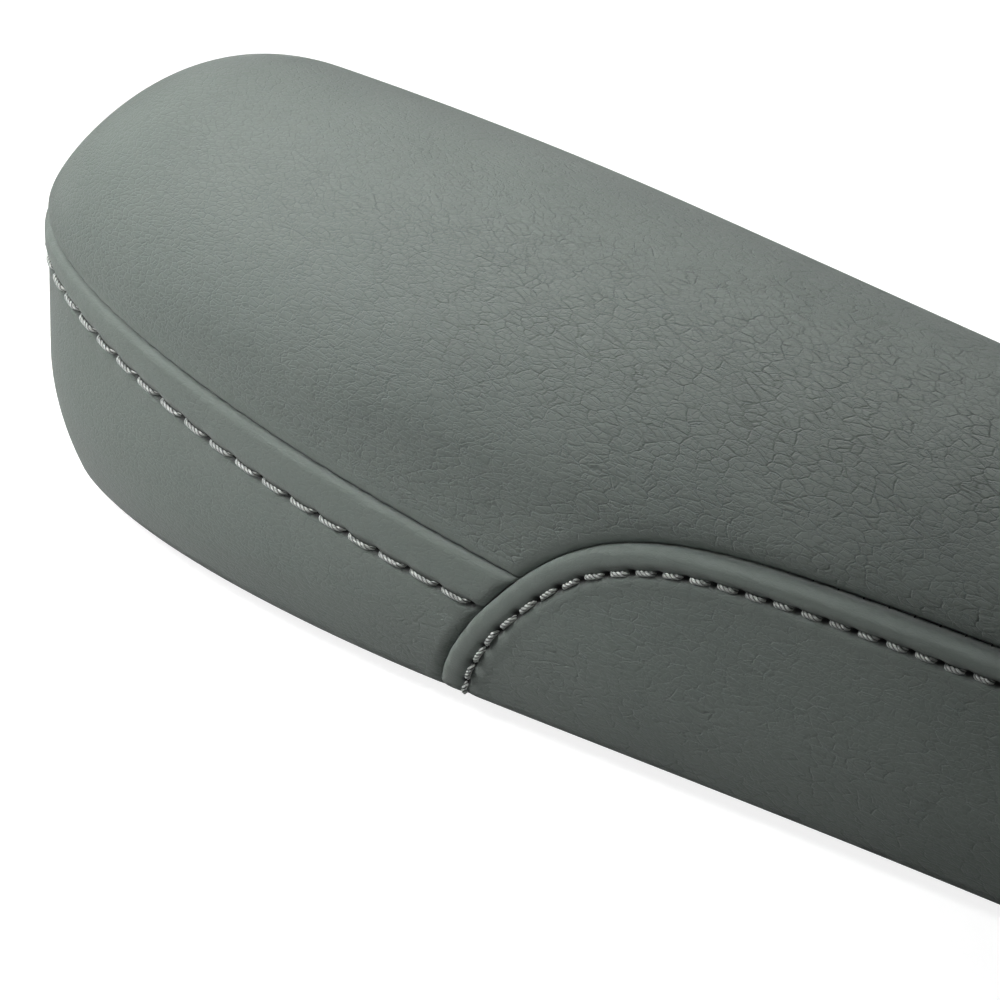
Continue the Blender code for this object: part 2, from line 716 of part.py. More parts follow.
def add_nut(name, y):
    """A tee nut: a round flange on top of the board and a threaded barrel down through it."""
    seat = BOARD_TOP + GAP / 2
    profile = [
        (NUT_BORE_RADIUS, seat + NUT_FLANGE - GAP),
        (NUT_FLANGE_RADIUS - GAP, seat + NUT_FLANGE - GAP),
        (NUT_FLANGE_RADIUS, seat + NUT_FLANGE - 2 * GAP),
        (NUT_FLANGE_RADIUS, seat),
        (NUT_BARREL_RADIUS, seat),
        (NUT_BARREL_RADIUS, seat - NUT_BARREL_LENGTH),
        (NUT_BORE_RADIUS, seat - NUT_BARREL_LENGTH),
    ]
    bm = bmesh.new()
    ring = [bm.verts.new((r, 0, z)) for r, z in profile]
    edges = [bm.edges.new((a, b)) for a, b in zip(ring, ring[1:] + ring[:1])]
    bmesh.ops.spin(
        bm, geom=ring + edges, cent=(0, 0, 0), axis=(0, 0, 1), angle=2 * math.pi, steps=ROUND_SEGMENTS, use_merge=True
    )
    bmesh.ops.recalc_face_normals(bm, faces=bm.faces)
    mesh = bpy.data.meshes.new(name)
    bm.to_mesh(mesh)
    bm.free()
    add_object(name, mesh, "zinc_steel").location = (0, y, 0)


def main():
    clear_scene()
    add_top_panel()
    add_nose_band()
    add_side_panel("side_panel_right", 1)
    add_side_panel("side_panel_left", -1)
    holes = leg_holes("flange_leg_holes", 0.0, 0.0)
    for name in ("nose_band", "side_panel_right", "side_panel_left"):
        cut(bpy.data.objects[name], holes)
    add_threads()
    add_wadding()
    add_foam()
    add_board()
    add_dust_cover()
    add_staples()
    for index, y in enumerate(nut_places()):
        add_nut(f"tee_nut_{('front', 'rear')[index]}", y)


main()
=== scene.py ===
"""Looks of the chair armrest pad: leather panels, raised seams, twisted thread, filling and fixings."""

import math

import bmesh
import bpy
import numpy as np
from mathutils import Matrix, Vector, noise
from mathutils.kdtree import KDTree


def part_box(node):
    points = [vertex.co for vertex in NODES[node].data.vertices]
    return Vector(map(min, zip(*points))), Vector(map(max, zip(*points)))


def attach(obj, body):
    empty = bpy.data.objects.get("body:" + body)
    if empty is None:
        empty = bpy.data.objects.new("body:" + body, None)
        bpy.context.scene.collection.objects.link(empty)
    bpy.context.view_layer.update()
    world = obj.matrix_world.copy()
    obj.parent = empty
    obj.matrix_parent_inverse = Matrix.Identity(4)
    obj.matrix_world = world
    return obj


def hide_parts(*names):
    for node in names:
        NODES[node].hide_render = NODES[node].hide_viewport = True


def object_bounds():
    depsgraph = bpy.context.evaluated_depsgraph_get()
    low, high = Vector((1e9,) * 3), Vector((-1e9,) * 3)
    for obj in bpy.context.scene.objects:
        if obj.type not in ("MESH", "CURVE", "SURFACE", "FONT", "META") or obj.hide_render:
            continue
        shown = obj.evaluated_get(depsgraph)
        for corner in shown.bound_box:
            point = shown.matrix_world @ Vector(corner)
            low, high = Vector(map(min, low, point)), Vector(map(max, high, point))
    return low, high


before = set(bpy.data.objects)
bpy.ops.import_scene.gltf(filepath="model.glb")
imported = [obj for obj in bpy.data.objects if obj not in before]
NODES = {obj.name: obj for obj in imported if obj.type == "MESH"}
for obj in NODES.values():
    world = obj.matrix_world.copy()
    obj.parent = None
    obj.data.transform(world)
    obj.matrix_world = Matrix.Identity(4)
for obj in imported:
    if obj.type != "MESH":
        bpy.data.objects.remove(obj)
CAD_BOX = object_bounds()
BODY = "root"
MM = 0.001

# Overall size: length and height from the top panel's box in the CAD model
TOP_LOW, TOP_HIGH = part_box("top_panel")
LENGTH = TOP_HIGH.y - TOP_LOW.y
HEIGHT = TOP_HIGH.z
WIDTH = 72 * MM

# Plan outline and side profile, as the CAD model has them
NOSE_LENGTH = 106 * MM
NOSE_POWER = 2.48
TAIL_LENGTH = 40 * MM
TAIL_POWER = 2.4
SIDE_TAPER = 0.09
TAPER_BLEND = 20 * MM
SHOULDER_HEIGHT = 44.7 * MM
TUCK_DEPTH = 7 * MM
TUCK_HEIGHT = 22 * MM
EDGE_RADIUS = 3 * MM
CROWN_POWER = 1.7
CROWN_RISE_LENGTH = 40 * MM
CROWN_RISE_POWER = 1.9
CROWN_RISE_ROOT = 1.2
RIDGE_FRONT = 36 * MM
RIDGE_REAR = 26 * MM
DOME_SPAN = 40 * MM
FLANGE_WIDTH = 12 * MM
FLANGE_Z = 1.8 * MM
LEATHER = 1.0 * MM

# Seams, as the CAD model has them
NOSE_SEAM_HEIGHT = 44.3 * MM
NOSE_SEAM_FALL = 0.122
SIDE_SEAM_HEIGHT = 44.3 * MM
SIDE_SEAM_START = 106 * MM
SIDE_SEAM_RISE = 30 * MM
SIDE_SEAM_POWER = 1.55
FRONT_STRAIGHT = 12 * MM  # the side panel's front edge is straight below this level
FRONT_BLEND = 6 * MM  # and turns upright over about this much at the underside
HALF_GAP = 0.06 * MM  # each panel stops this far from the middle of a seam

# Topstitching: distance from the seam, pitch, how much of a stitch shows, and how long a stretch at each needle
# hole is painted black as shade
NOSE_DROP_TIP = 5.0 * MM
NOSE_DROP_BACK = 7.8 * MM
NOSE_DROP_START = 8 * MM
NOSE_DROP_END = 86 * MM
NOSE_PITCH = 6.7 * MM
NOSE_STITCH = 5.7 * MM
NOSE_HOLE_SHADE = 0.5 * MM
NOSE_THREAD_RADIUS = 0.37 * MM
SIDE_INSET = 4.2 * MM
SIDE_PITCH = 5.4 * MM
SIDE_STITCH = 4.1 * MM
SIDE_HOLE_SHADE = 0.9 * MM
SIDE_THREAD_RADIUS = 0.43 * MM
SEAM_PITCH = 4.8 * MM
SEAM_THREAD_RADIUS = 0.15 * MM

# Mesh attributes that the materials read
GRAIN = "grain"
# ply carries the painted shade in the grooves between the thread's plies
PLY_GROOVE_SHADE = "ply"
# holes carries the painted shade of the needle holes and of the strip beside the stitches
HOLE_SHADE = "holes"

TRACK_SAMPLES = 6000
BATCH = 4000  # points measured at a time, to keep memory small


# --- Outline and base surface -------------------------------------------------------------------


def half_width(along):
    past = along - NOSE_LENGTH
    taper = SIDE_TAPER * 0.5 * (past + np.sqrt(past**2 + TAPER_BLEND**2))
    from_nose = np.clip(1 - along / NOSE_LENGTH, 0, 1)
    from_tail = np.clip(1 - (LENGTH - along) / TAIL_LENGTH, 0, 1)
    nose = (1 - from_nose**NOSE_POWER) ** (1 / NOSE_POWER)
    tail = (1 - from_tail**TAIL_POWER) ** (1 / TAIL_POWER)
    return (WIDTH / 2 - taper) * nose * tail


def make_track():
    """Arc length, x and y of the right half of the outline, from the nose tip to the tail tip."""
    ramp = np.linspace(0, 1, TRACK_SAMPLES)
    nose = NOSE_LENGTH * ramp**NOSE_POWER
    middle = np.linspace(NOSE_LENGTH, LENGTH - TAIL_LENGTH, TRACK_SAMPLES)[1:-1]
    tail = LENGTH - TAIL_LENGTH * ramp[::-1] ** TAIL_POWER
    along = np.concatenate([nose, middle, tail])
    x = half_width(along)
    steps = np.hypot(np.diff(x), np.diff(along))
    return np.concatenate([[0], np.cumsum(steps)]), x, along - LENGTH / 2


TRACK_S, TRACK_X, TRACK_Y = make_track()
HALF_LOOP = TRACK_S[-1]


def outline_point(s):
    """The outline at arc length s from the nose tip: positive on the +X side, negative on the other."""
    s = (s + HALF_LOOP) % (2 * HALF_LOOP) - HALF_LOOP
    x = np.interp(np.abs(s), TRACK_S, TRACK_X) * np.sign(s)
    y = np.interp(np.abs(s), TRACK_S, TRACK_Y)
    return np.stack([x, y], axis=-1)


def along_at(s):
    return outline_point(np.asarray(s, float))[..., 1] + LENGTH / 2


def s_at(along):
    return float(np.interp(along - LENGTH / 2, TRACK_Y, TRACK_S))


def ridge_point(edge):
    y = edge[..., 1] * (1 - (RIDGE_FRONT + RIDGE_REAR) / LENGTH) + (RIDGE_FRONT - RIDGE_REAR) / 2
    return np.stack([np.zeros_like(y), y], axis=-1)


def tuck(z):
    return TUCK_DEPTH * (np.clip(TUCK_HEIGHT - z, 0, TUCK_HEIGHT) / TUCK_HEIGHT) ** 2


def wall_profile(t):
    """Inset and height at level t: the flange under the board below 0, then the wall, where t is height."""
    top = FLANGE_Z + EDGE_RADIUS
    ramp = np.clip((t + EDGE_RADIUS) / (top + EDGE_RADIUS), 0, 1)
    corner = tuck(0.0)
    bend = (1 - ramp) ** 2 * (corner + EDGE_RADIUS) + 2 * ramp * (1 - ramp) * corner + ramp**2 * tuck(top)
    rise = FLANGE_Z + ramp**2 * EDGE_RADIUS
    inset = np.where(t < -EDGE_RADIUS, corner - t, np.where(t < top, bend, tuck(t)))
    return inset, np.where(t < top, rise, t)


def crown(x, y):
    """Height above the shoulder: a rounded section that rises from the nose and from the tail."""
    along = y + LENGTH / 2
    from_end = np.minimum(along, LENGTH - along)
    rise = (1 - np.clip(1 - from_end / CROWN_RISE_LENGTH, 0, 1) ** CROWN_RISE_POWER) ** (1 / CROWN_RISE_ROOT)
    across = np.clip(np.abs(x) / np.maximum(half_width(along), 1e-6), 0, 1)
    return (HEIGHT - SHOULDER_HEIGHT) * rise * (1 - across**2) ** (1 / CROWN_POWER)


def surface(s, t):
    """Base surface at arc length s and level t. Past the shoulder, t runs over the crown to its ridge."""
    s, t = np.broadcast_arrays(s, t)
    inset, wall_z = wall_profile(np.minimum(t, SHOULDER_HEIGHT))
    outline = outline_point(s)
    inward = ridge_point(outline) - outline
    edge = outline + inward / np.linalg.norm(inward, axis=-1, keepdims=True) * inset[..., None]
    share = np.clip((t - SHOULDER_HEIGHT) / DOME_SPAN, 0, 1)
    plan = edge + inward * share[..., None]
    z = wall_z + np.where(share > 0, crown(plan[..., 0], plan[..., 1]), 0.0)
    return np.concatenate([plan, z[..., None]], axis=-1)


# --- Seam lines in the plane of s and t ---------------------------------------------------------


def nose_seam(s):
    return NOSE_SEAM_HEIGHT - NOSE_SEAM_FALL * along_at(s)


S_START = s_at(SIDE_SEAM_START)


def side_seam(s):
    past = np.clip(np.abs(s) - S_START, 0, None)
    return SIDE_SEAM_HEIGHT * (1 - np.exp(-((past / SIDE_SEAM_RISE) ** SIDE_SEAM_POWER)))


def side_seam_s(t):
    share = np.clip(t / SIDE_SEAM_HEIGHT, 0, 0.99)
    return S_START + SIDE_SEAM_RISE * (-np.log(1 - share)) ** (1 / SIDE_SEAM_POWER)


def front_edge(t):
    """Arc length of the side panel's slanted front edge at level t. It turns upright at the underside."""
    join = side_seam_s(FRONT_STRAIGHT)
    slope = (side_seam_s(FRONT_STRAIGHT + MM) - join) / MM
    straight = 0.5 * (t + np.sqrt(t**2 + FRONT_BLEND**2))
    at_join = 0.5 * (FRONT_STRAIGHT + math.hypot(FRONT_STRAIGHT, FRONT_BLEND))
    return np.where(t > FRONT_STRAIGHT, side_seam_s(t), join - slope * (at_join - straight))


def make_edge():
    """The side panel's seam edge as points (s, t), from the underside up the front and back to the tail."""
    rise = np.linspace(-FLANGE_WIDTH, FRONT_STRAIGHT, 800)
    run = np.linspace(side_seam_s(FRONT_STRAIGHT), HALF_LOOP - HALF_GAP, 4000)[1:]
    return np.concatenate([np.stack([front_edge(rise), rise], 1), np.stack([run, side_seam(run)], 1)])


def lengths(line):
    return np.concatenate([[0], np.cumsum(np.linalg.norm(np.diff(line, axis=0), axis=1))])


def resample(line, places):
    done = lengths(line)
    return np.stack([np.interp(places, done, line[:, k]) for k in range(line.shape[1])], 1)


def right_normal(line):
    """Unit normals of a line in the plane, on the right of its direction of travel."""
    tangent = np.gradient(line, axis=0)
    tangent /= np.linalg.norm(tangent, axis=1, keepdims=True)
    return np.stack([tangent[:, 1], -tangent[:, 0]], 1)


EDGE = make_edge()
JUNCTION_S = float(EDGE[np.argmax(EDGE[:, 1] > nose_seam(EDGE[:, 0])), 0])
JUNCTION_T = float(nose_seam(JUNCTION_S))


def nose_drop(s):
    """How far the nose band's topstitch lies below its seam."""
    share = smooth(along_at(s), NOSE_DROP_START, NOSE_DROP_END)
    return NOSE_DROP_TIP + (NOSE_DROP_BACK - NOSE_DROP_TIP) * share


def nearest(points, line):
    """Distance from each point to a line in the plane, and the arc length along it of the nearest place."""
    done = lengths(line)
    distance = np.empty(len(points))
    place = np.empty(len(points))
    for start in range(0, len(points), BATCH):
        part = points[start : start + BATCH]
        gap = (part[:, None, 0] - line[None, :, 0]) ** 2 + (part[:, None, 1] - line[None, :, 1]) ** 2
        index = gap.argmin(1)
        distance[start : start + BATCH] = np.sqrt(gap[np.arange(len(part)), index])
        place[start : start + BATCH] = done[index]
    return distance, place


# --- Relief: how far the leather stands off the base surface ------------------------------------

BAND_FALL = 1.9 * MM  # a raised band starts to fall this far before its topstitch
BAND_FOOT = 0.1 * MM  # and is down this far before it
BAND_SWELL = 0.18  # share of its height by which its middle swells
GROOVE_WIDTH = 0.5 * MM  # the groove that the topstitch pulls
RIM_PLACE = 1.7 * MM  # the slight rise beyond the groove
RIM_WIDTH = 1.1 * MM
RIM_SHARE = 0.35
HOLE_SHADE_WIDTH = 0.5 * MM  # painted shade: near black painted into the needle holes and in a strip beside the stitches
HOLE_SHADE_FLATTEN = 0.85
HOLE_SHADE_BLACK = 1.25
SHADE_PLACE = 0.1 * MM
SHADE_WIDTH = 0.55 * MM
SHADE_BLACK = 0.55
PUNCH_WIDTH = 0.45 * MM  # dents at the needle holes, and the pucker between them
PUNCH_DEPTH = 0.9 * MM
PUCKER_WIDTH = 2.2 * MM
PUCKER_DEPTH = 0.07 * MM
SCALLOP_WIDTH = 1.1 * MM
LIP_DEPTH = 1.6 * MM  # the outermost row of a panel is turned in by this


def smooth(value, low, high):
    share = np.clip((value - low) / (high - low), 0, 1)
    return share**2 * (3 - 2 * share)


def roll(distance, radius, depth):
    """Leather that turns down into a seam along a quarter of an ellipse."""
    share = 1 - np.clip(distance / radius, 0, 1)
    return -depth * (1 - np.sqrt(1 - share**2))


def bell(value, width):
    return np.exp(-((value / width) ** 2))


def raised_band(distance, stitch, height, groove):
    """A folded seam allowance under the leather, from the seam to its topstitch, and the groove there."""
    plateau = height * (1 - smooth(distance, stitch - BAND_FALL, stitch - BAND_FOOT))
    swell = BAND_SWELL * height * np.sin(np.pi * np.clip(distance / stitch, 0, 1))
    beyond = RIM_SHARE * groove * bell(distance - stitch - RIM_PLACE, RIM_WIDTH)
    return plateau + swell - groove * bell(distance - stitch, GROOVE_WIDTH) + beyond


def stitch_phase(place, pitch):
    """Where along its stitch each place is: 0 at the needle hole, -0.5 and 0.5 in the middle of a stitch."""
    return (place / pitch + 0.5) % 1 - 0.5


def needle_hole_shade(offset, place, pitch, length):
    """Painted shade, from 0 to 1: black painted into the open holes between stitches, and the shade beside
    them.
    """
    along = np.clip(np.abs(stitch_phase(place, pitch) * pitch) - length / 2, 0, None)
    gap = np.hypot(along, offset * HOLE_SHADE_FLATTEN)
    shade = SHADE_BLACK * bell(offset - SHADE_PLACE, SHADE_WIDTH)
    return np.clip(HOLE_SHADE_BLACK * bell(gap, HOLE_SHADE_WIDTH) + shade, 0, 1)


def stitch_marks(offset, place, pitch):
    """Needle holes at both ends of each stitch, and the slight pucker between them."""
    phase = stitch_phase(place, pitch)
    holes = bell(np.hypot(phase * pitch, offset), PUNCH_WIDTH)
    pucker = np.cos(2 * np.pi * phase) * bell(offset, PUCKER_WIDTH)
    return -PUNCH_DEPTH * holes - PUCKER_DEPTH * pucker


def scallop(distance, place, amount):
    """The seam's own stitches pull its edge in a little at every pitch."""
    pull = np.cos(2 * np.pi * place / SEAM_PITCH) * 0.5 + 0.5
    return -amount * pull**3 * bell(distance, SCALLOP_WIDTH)


def drift(points, scale, seed):
    """Smooth noise at points in space, from about -0.5 to 0.5."""
    offset = Vector((seed * 7.31, seed * 3.17, seed * 5.71))
    return np.array([noise.noise(Vector(p) / scale + offset) for p in points])


# --- Padding simulation -------------------------------------------------------------------------

SIM_COLUMNS = 200
SIM_BELOW = 13  # rows below the seam, and rows above it
SIM_ABOVE = 15
SIM_POWER = 1.5
SIM_FRAMES = 20
SIM_PRESSURE = 4.0
SIM_HELD = 1.6 * MM  # points this close to a seam are held
SIM_CAP = 0.7 * MM  # the padding is firm, so the swelling stays below this
SIM_SMOOTHING = 2
SIM_BASE = FLANGE_Z + EDGE_RADIUS
SIM_TOP = SHOULDER_HEIGHT + DOME_SPAN


def upper_seam(s):
    return np.maximum(nose_seam(s), side_seam(s))


def sim_level(s, row):
    """Level of a row of the simulated cover: even up to the seam, then closer together near it."""
    seam = upper_seam(s)
    below = SIM_BASE + (seam - SIM_BASE) * np.clip(row / SIM_BELOW, 0, 1)
    above = (SIM_TOP - seam) * np.clip((row - SIM_BELOW) / SIM_ABOVE, 0, 1) ** SIM_POWER
    return np.where(row <= SIM_BELOW, below, seam + above)


def sim_row(s, t):
    seam = upper_seam(s)
    below = np.clip((t - SIM_BASE) / (seam - SIM_BASE), 0, 1) * SIM_BELOW
    above = np.clip((t - seam) / (SIM_TOP - seam), 0, 1) ** (1 / SIM_POWER) * SIM_ABOVE
    return np.where(t <= seam, below, SIM_BELOW + above)


def simulate_padding():
    """Blows the cover up like a stuffed cushion, held at its seams.

    Returns how far each point moves along its normal, by column and row.
    """
    rows = SIM_BELOW + SIM_ABOVE + 1
    s = (np.arange(SIM_COLUMNS) / SIM_COLUMNS * 2 - 1) * HALF_LOOP
    level = sim_level(s[:, None], np.arange(rows)[None, :])
    points = surface(s[:, None], level)
    index = np.arange(SIM_COLUMNS * rows).reshape(SIM_COLUMNS, rows)
    mirror = (SIM_COLUMNS - np.arange(SIM_COLUMNS)) % SIM_COLUMNS
    index[:, -1] = np.minimum(index[:, -1], index[mirror, -1])
    faces = []
    for i in range(SIM_COLUMNS):
        k = (i + 1) % SIM_COLUMNS
        for j in range(rows - 1):
            quad = [index[i, j], index[k, j], index[k, j + 1], index[i, j + 1]]
            faces.append(list(dict.fromkeys(int(v) for v in quad)))
    faces = [face for face in faces if len(face) > 2]
    faces.append([int(v) for v in index[::-1, 0]])
    mesh = bpy.data.meshes.new("padding_sim")
    mesh.from_pydata(points.reshape(-1, 3).tolist(), [], faces)
    obj = bpy.data.objects.new("padding_sim", mesh)
    bpy.context.collection.objects.link(obj)
    flat = np.stack([np.abs(np.broadcast_to(s[:, None], level.shape)).ravel(), level.ravel()], 1)
    front = EDGE[EDGE[:, 1] < JUNCTION_T][::20]
    held = nearest(flat, front)[0] < SIM_HELD
    held |= np.isin(np.broadcast_to(np.arange(rows), level.shape).ravel(), (0, SIM_BELOW))
    held |= (flat[:, 0] > HALF_LOOP - 2 * MM) & (flat[:, 1] < upper_seam(np.array([HALF_LOOP])))
    pins = obj.vertex_groups.new(name="held")
    pins.add([int(v) for v in np.flatnonzero(held)], 1.0, "REPLACE")
    cloth = obj.modifiers.new("cloth", "CLOTH")
    cloth.settings.quality = 6
    cloth.settings.mass = 0.4
    cloth.settings.tension_stiffness = 40
    cloth.settings.compression_stiffness = 40
    cloth.settings.shear_stiffness = 20
    cloth.settings.bending_stiffness = 8
    cloth.settings.use_pressure = True
    cloth.settings.uniform_pressure_force = SIM_PRESSURE
    cloth.settings.vertex_group_mass = "held"
    cloth.settings.effector_weights.gravity = 0
    cloth.collision_settings.use_collision = False
    scene = bpy.context.scene
    cloth.point_cache.frame_start = 1
    cloth.point_cache.frame_end = SIM_FRAMES
    for step in range(1, SIM_FRAMES + 1):
        scene.frame_set(step)
    moved = obj.evaluated_get(bpy.context.evaluated_depsgraph_get()).to_mesh()
    after = np.empty(len(moved.vertices) * 3)
    moved.vertices.foreach_get("co", after)
    before = np.array([v.co for v in mesh.vertices], float)
    normals = np.array([v.normal for v in mesh.vertices], float)
    travel = ((after.reshape(-1, 3) - before) * normals).sum(1)
    scene.frame_set(1)
    bpy.data.objects.remove(obj)
    travel = SIM_CAP * np.tanh(travel[index] / SIM_CAP)
    for _ in range(SIM_SMOOTHING):
        beside = np.roll(travel, 1, 0) + np.roll(travel, -1, 0)
        padded = np.pad(travel, ((0, 0), (1, 1)), "edge")
        travel = (2 * travel + beside + padded[:, 2:] + padded[:, :-2]) / 6
    return travel


def cubic(share):
    """Catmull-Rom weights of the four points round a share from 0 to 1."""
    return (
        0.5 * (-(share**3) + 2 * share**2 - share),
        0.5 * (3 * share**3 - 5 * share**2 + 2),
        0.5 * (-3 * share**3 + 4 * share**2 + share),
        0.5 * (share**3 - share**2),
    )


PUFF = simulate_padding()


def puff(s, t):
    """The simulated swelling of the cover at any place, read smoothly between its points."""
    if PUFF is None:
        return np.zeros(np.broadcast(s, t).shape)
    s, t = np.broadcast_arrays(s, t)
    across = ((s / HALF_LOOP + 1) / 2 * SIM_COLUMNS) % SIM_COLUMNS
    up = np.clip(sim_row(s, t), 0, PUFF.shape[1] - 1)
    i = np.floor(across).astype(int)
    j = np.minimum(np.floor(up).astype(int), PUFF.shape[1] - 2)
    total = np.zeros(s.shape)
    for a, wa in enumerate(cubic(across - i)):
        for b, wb in enumerate(cubic(up - j)):
            row = np.clip(j + b - 1, 0, PUFF.shape[1] - 1)
            total = total + wa * wb * PUFF[(i + a - 1) % SIM_COLUMNS, row]
    return total * smooth(t, 0.0, 2 * SIM_BASE)


# --- Mesh helpers -------------------------------------------------------------------------------

PANEL_WELD = 0.002 * MM


def grid_faces(columns, rows, start=0, wraps=False):
    i = np.arange(columns if wraps else columns - 1)[:, None]
    j = np.arange(rows - 1)[None, :]
    a = start + i * rows + j
    b = start + (i + 1) % columns * rows + j
    return np.stack([a, b, b + 1, a + 1], -1).reshape(-1, 4).tolist()


def add_piece(name, mesh, material, node):
    mesh.materials.append(material)
    mesh.shade_smooth()
    obj = bpy.data.objects.new(name, mesh)
    bpy.context.collection.objects.link(obj)
    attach(obj, BODY)
    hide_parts(node)
    return obj


def leather_mesh(name, places, faces, relief, grain, holes=None):
    """A mesh on the base surface at places (s, t), moved along its own normals by relief.

    Its material reads from grain how much of the leather's texture each place shows, and from holes where the
    needle went in, which it paints near black as painted shade.
    """
    points = surface(places[:, 0], places[:, 1])
    mesh = bpy.data.meshes.new(name)
    mesh.from_pydata(points.tolist(), [], faces)
    holes = np.zeros(len(places)) if holes is None else holes
    for label, values in (("relief", relief), (GRAIN, grain), (HOLE_SHADE, holes)):
        layer = mesh.attributes.new(label, "FLOAT", "POINT")
        layer.data.foreach_set("value", values.astype(np.float32))
    bm = bmesh.new()
    bm.from_mesh(mesh)
    bmesh.ops.remove_doubles(bm, verts=bm.verts, dist=PANEL_WELD)
    bmesh.ops.recalc_face_normals(bm, faces=bm.faces)
    bm.normal_update()
    centre = Vector((0, 0, HEIGHT / 2))
    if sum((f.calc_center_median() - centre).dot(f.normal) for f in bm.faces) < 0:
        bmesh.ops.reverse_faces(bm, faces=bm.faces)
        bm.normal_update()
    layer = bm.verts.layers.float["relief"]
    normals = [v.normal.copy() for v in bm.verts]
    for vertex, direction in zip(bm.verts, normals):
        vertex.co += direction * vertex[layer]
    bm.to_mesh(mesh)
    bm.free()
    mesh.attributes.remove(mesh.attributes["relief"])
    return mesh


def thicken(obj):
    solid = obj.modifiers.new("thickness", "SOLIDIFY")
    solid.thickness = LEATHER
    solid.offset = -1


def spacing(fine, coarse, span, growth=1.18):
    """Distances from 0 to span whose steps grow from fine to coarse."""
    places = [0.0]
    step = fine
    while places[-1] < span:
        places.append(places[-1] + step)
        step = min(step * growth, coarse)
    return np.array(places) * span / places[-1]


# --- Leather panels -----------------------------------------------------------------------------

TOP_COLUMN = 1.15 * MM
LIP_SLIP = 0.03 * MM  # the turned-in row lies this far inside the seam
NOSE_ROLL = 1.7 * MM  # radius and depth of the top panel's edge along the nose seam
NOSE_DIP = 1.15 * MM
SIDE_ROLL = 4.0 * MM  # and along the side panels
SIDE_ROLL_GROWTH = 3.0 * MM
SIDE_DIP_FRONT = 1.0 * MM
SIDE_DIP_REAR = 3.0 * MM
SIDE_DIP_RUN = 80 * MM
TOP_SCALLOP = 0.14 * MM
NOSE_BAND_HEIGHT = 0.5 * MM
NOSE_GROOVE = 0.34 * MM
NOSE_SCALLOP = 0.1 * MM
NOSE_STRIP = 11.5 * MM  # fine rows below the nose seam
END_ROLL = 2.2 * MM
SIDE_STRIP = 8 * MM  # fine rows inside the side panel's edge
SIDE_BAND_HEIGHT = 0.95 * MM
SIDE_GROOVE = 0.45 * MM
SIDE_SCALLOP = 0.16 * MM
TAIL_FADE = 9 * MM
EDGE_ROLL = 1.3 * MM  # radius of the bands' own edges
FOOT_LOW = -4 * MM  # relief fades out between these levels, where the leather turns under
FOOT_HIGH = 3 * MM


def side_dip(s):
    """How deep the top panel dips beside a side panel's raised band: little at the corner, more behind it."""
    rear = smooth(np.abs(s), JUNCTION_S, JUNCTION_S + SIDE_DIP_RUN)
    return SIDE_DIP_FRONT + (SIDE_DIP_REAR - SIDE_DIP_FRONT) * rear


def top_panel(leather):
    """The crowned panel: columns round the outline, each with rows from its seam up to the ridge."""
    count = 2 * round(HALF_LOOP / TOP_COLUMN)
    s = (np.arange(count) / count * 2 - 1) * HALF_LOOP
    low = upper_seam(s) + HALF_GAP
    wall = low[:, None] + (SHOULDER_HEIGHT - low)[:, None] * np.linspace(0, 1, 60)[None, :]
    dome = SHOULDER_HEIGHT + DOME_SPAN * np.linspace(0, 1, 260)[1:] ** 2
    fine = np.concatenate([wall, np.broadcast_to(dome, (count, len(dome)))], 1)
    steps = np.linalg.norm(np.diff(surface(s[:, None], fine), axis=1), axis=2)
    done = np.concatenate([np.zeros((count, 1)), np.cumsum(steps, 1)], 1)
    lean = np.cos(np.arctan(np.gradient(low) / np.gradient(s)))
    near = np.concatenate([[0, 0.01, 0.04, 0.1, 0.2, 0.35, 0.55, 0.8], np.arange(1.1, 8, 0.45)]) * MM
    far = np.linspace(0, 1, 40)[1:]
    distance = near[None, :] / lean[:, None]
    rest = distance[:, -1:] + (done[:, -1:] - distance[:, -1:]) * far[None, :]
    distance = np.concatenate([distance, rest], 1)
    level = np.stack([np.interp(d, length, t) for d, length, t in zip(distance, done, fine)])
    square = np.minimum(distance * lean[:, None], distance)
    at = np.broadcast_to(s[:, None], level.shape)
    by_side = smooth(np.abs(at), JUNCTION_S - 3 * MM, JUNCTION_S + 5 * MM)
    radius = NOSE_ROLL + (SIDE_ROLL - NOSE_ROLL) * by_side
    radius += SIDE_ROLL_GROWTH * smooth(np.abs(at), JUNCTION_S, JUNCTION_S + SIDE_DIP_RUN)
    depth = by_side * side_dip(at) + (1 - by_side) * NOSE_DIP
    relief = roll(square, radius, depth) + scallop(square, at, TOP_SCALLOP) + puff(at, level)
    relief[:, 0] -= LIP_DEPTH
    level[:, 0] -= LIP_SLIP
    places = np.stack([at.ravel(), level.ravel()], 1)
    faces = grid_faces(count, level.shape[1], wraps=True)
    grain = smooth(square, 0.5 * MM, 3 * MM)
    mesh = leather_mesh("top_panel_leather", places, faces, relief.ravel(), grain.ravel())
    obj = add_piece("top_panel_leather", mesh, leather, "top_panel")
    thicken(obj)
    return obj


def nose_line():
    """The nose band's topstitch as points (s, t), from one side panel's edge to the other's."""
    s = np.linspace(-JUNCTION_S, JUNCTION_S, 6000)
    t = nose_seam(s) - nose_drop(s)
    keep = np.abs(s) < front_edge(t) - 0.2 * MM
    return np.stack([s[keep], t[keep]], 1)


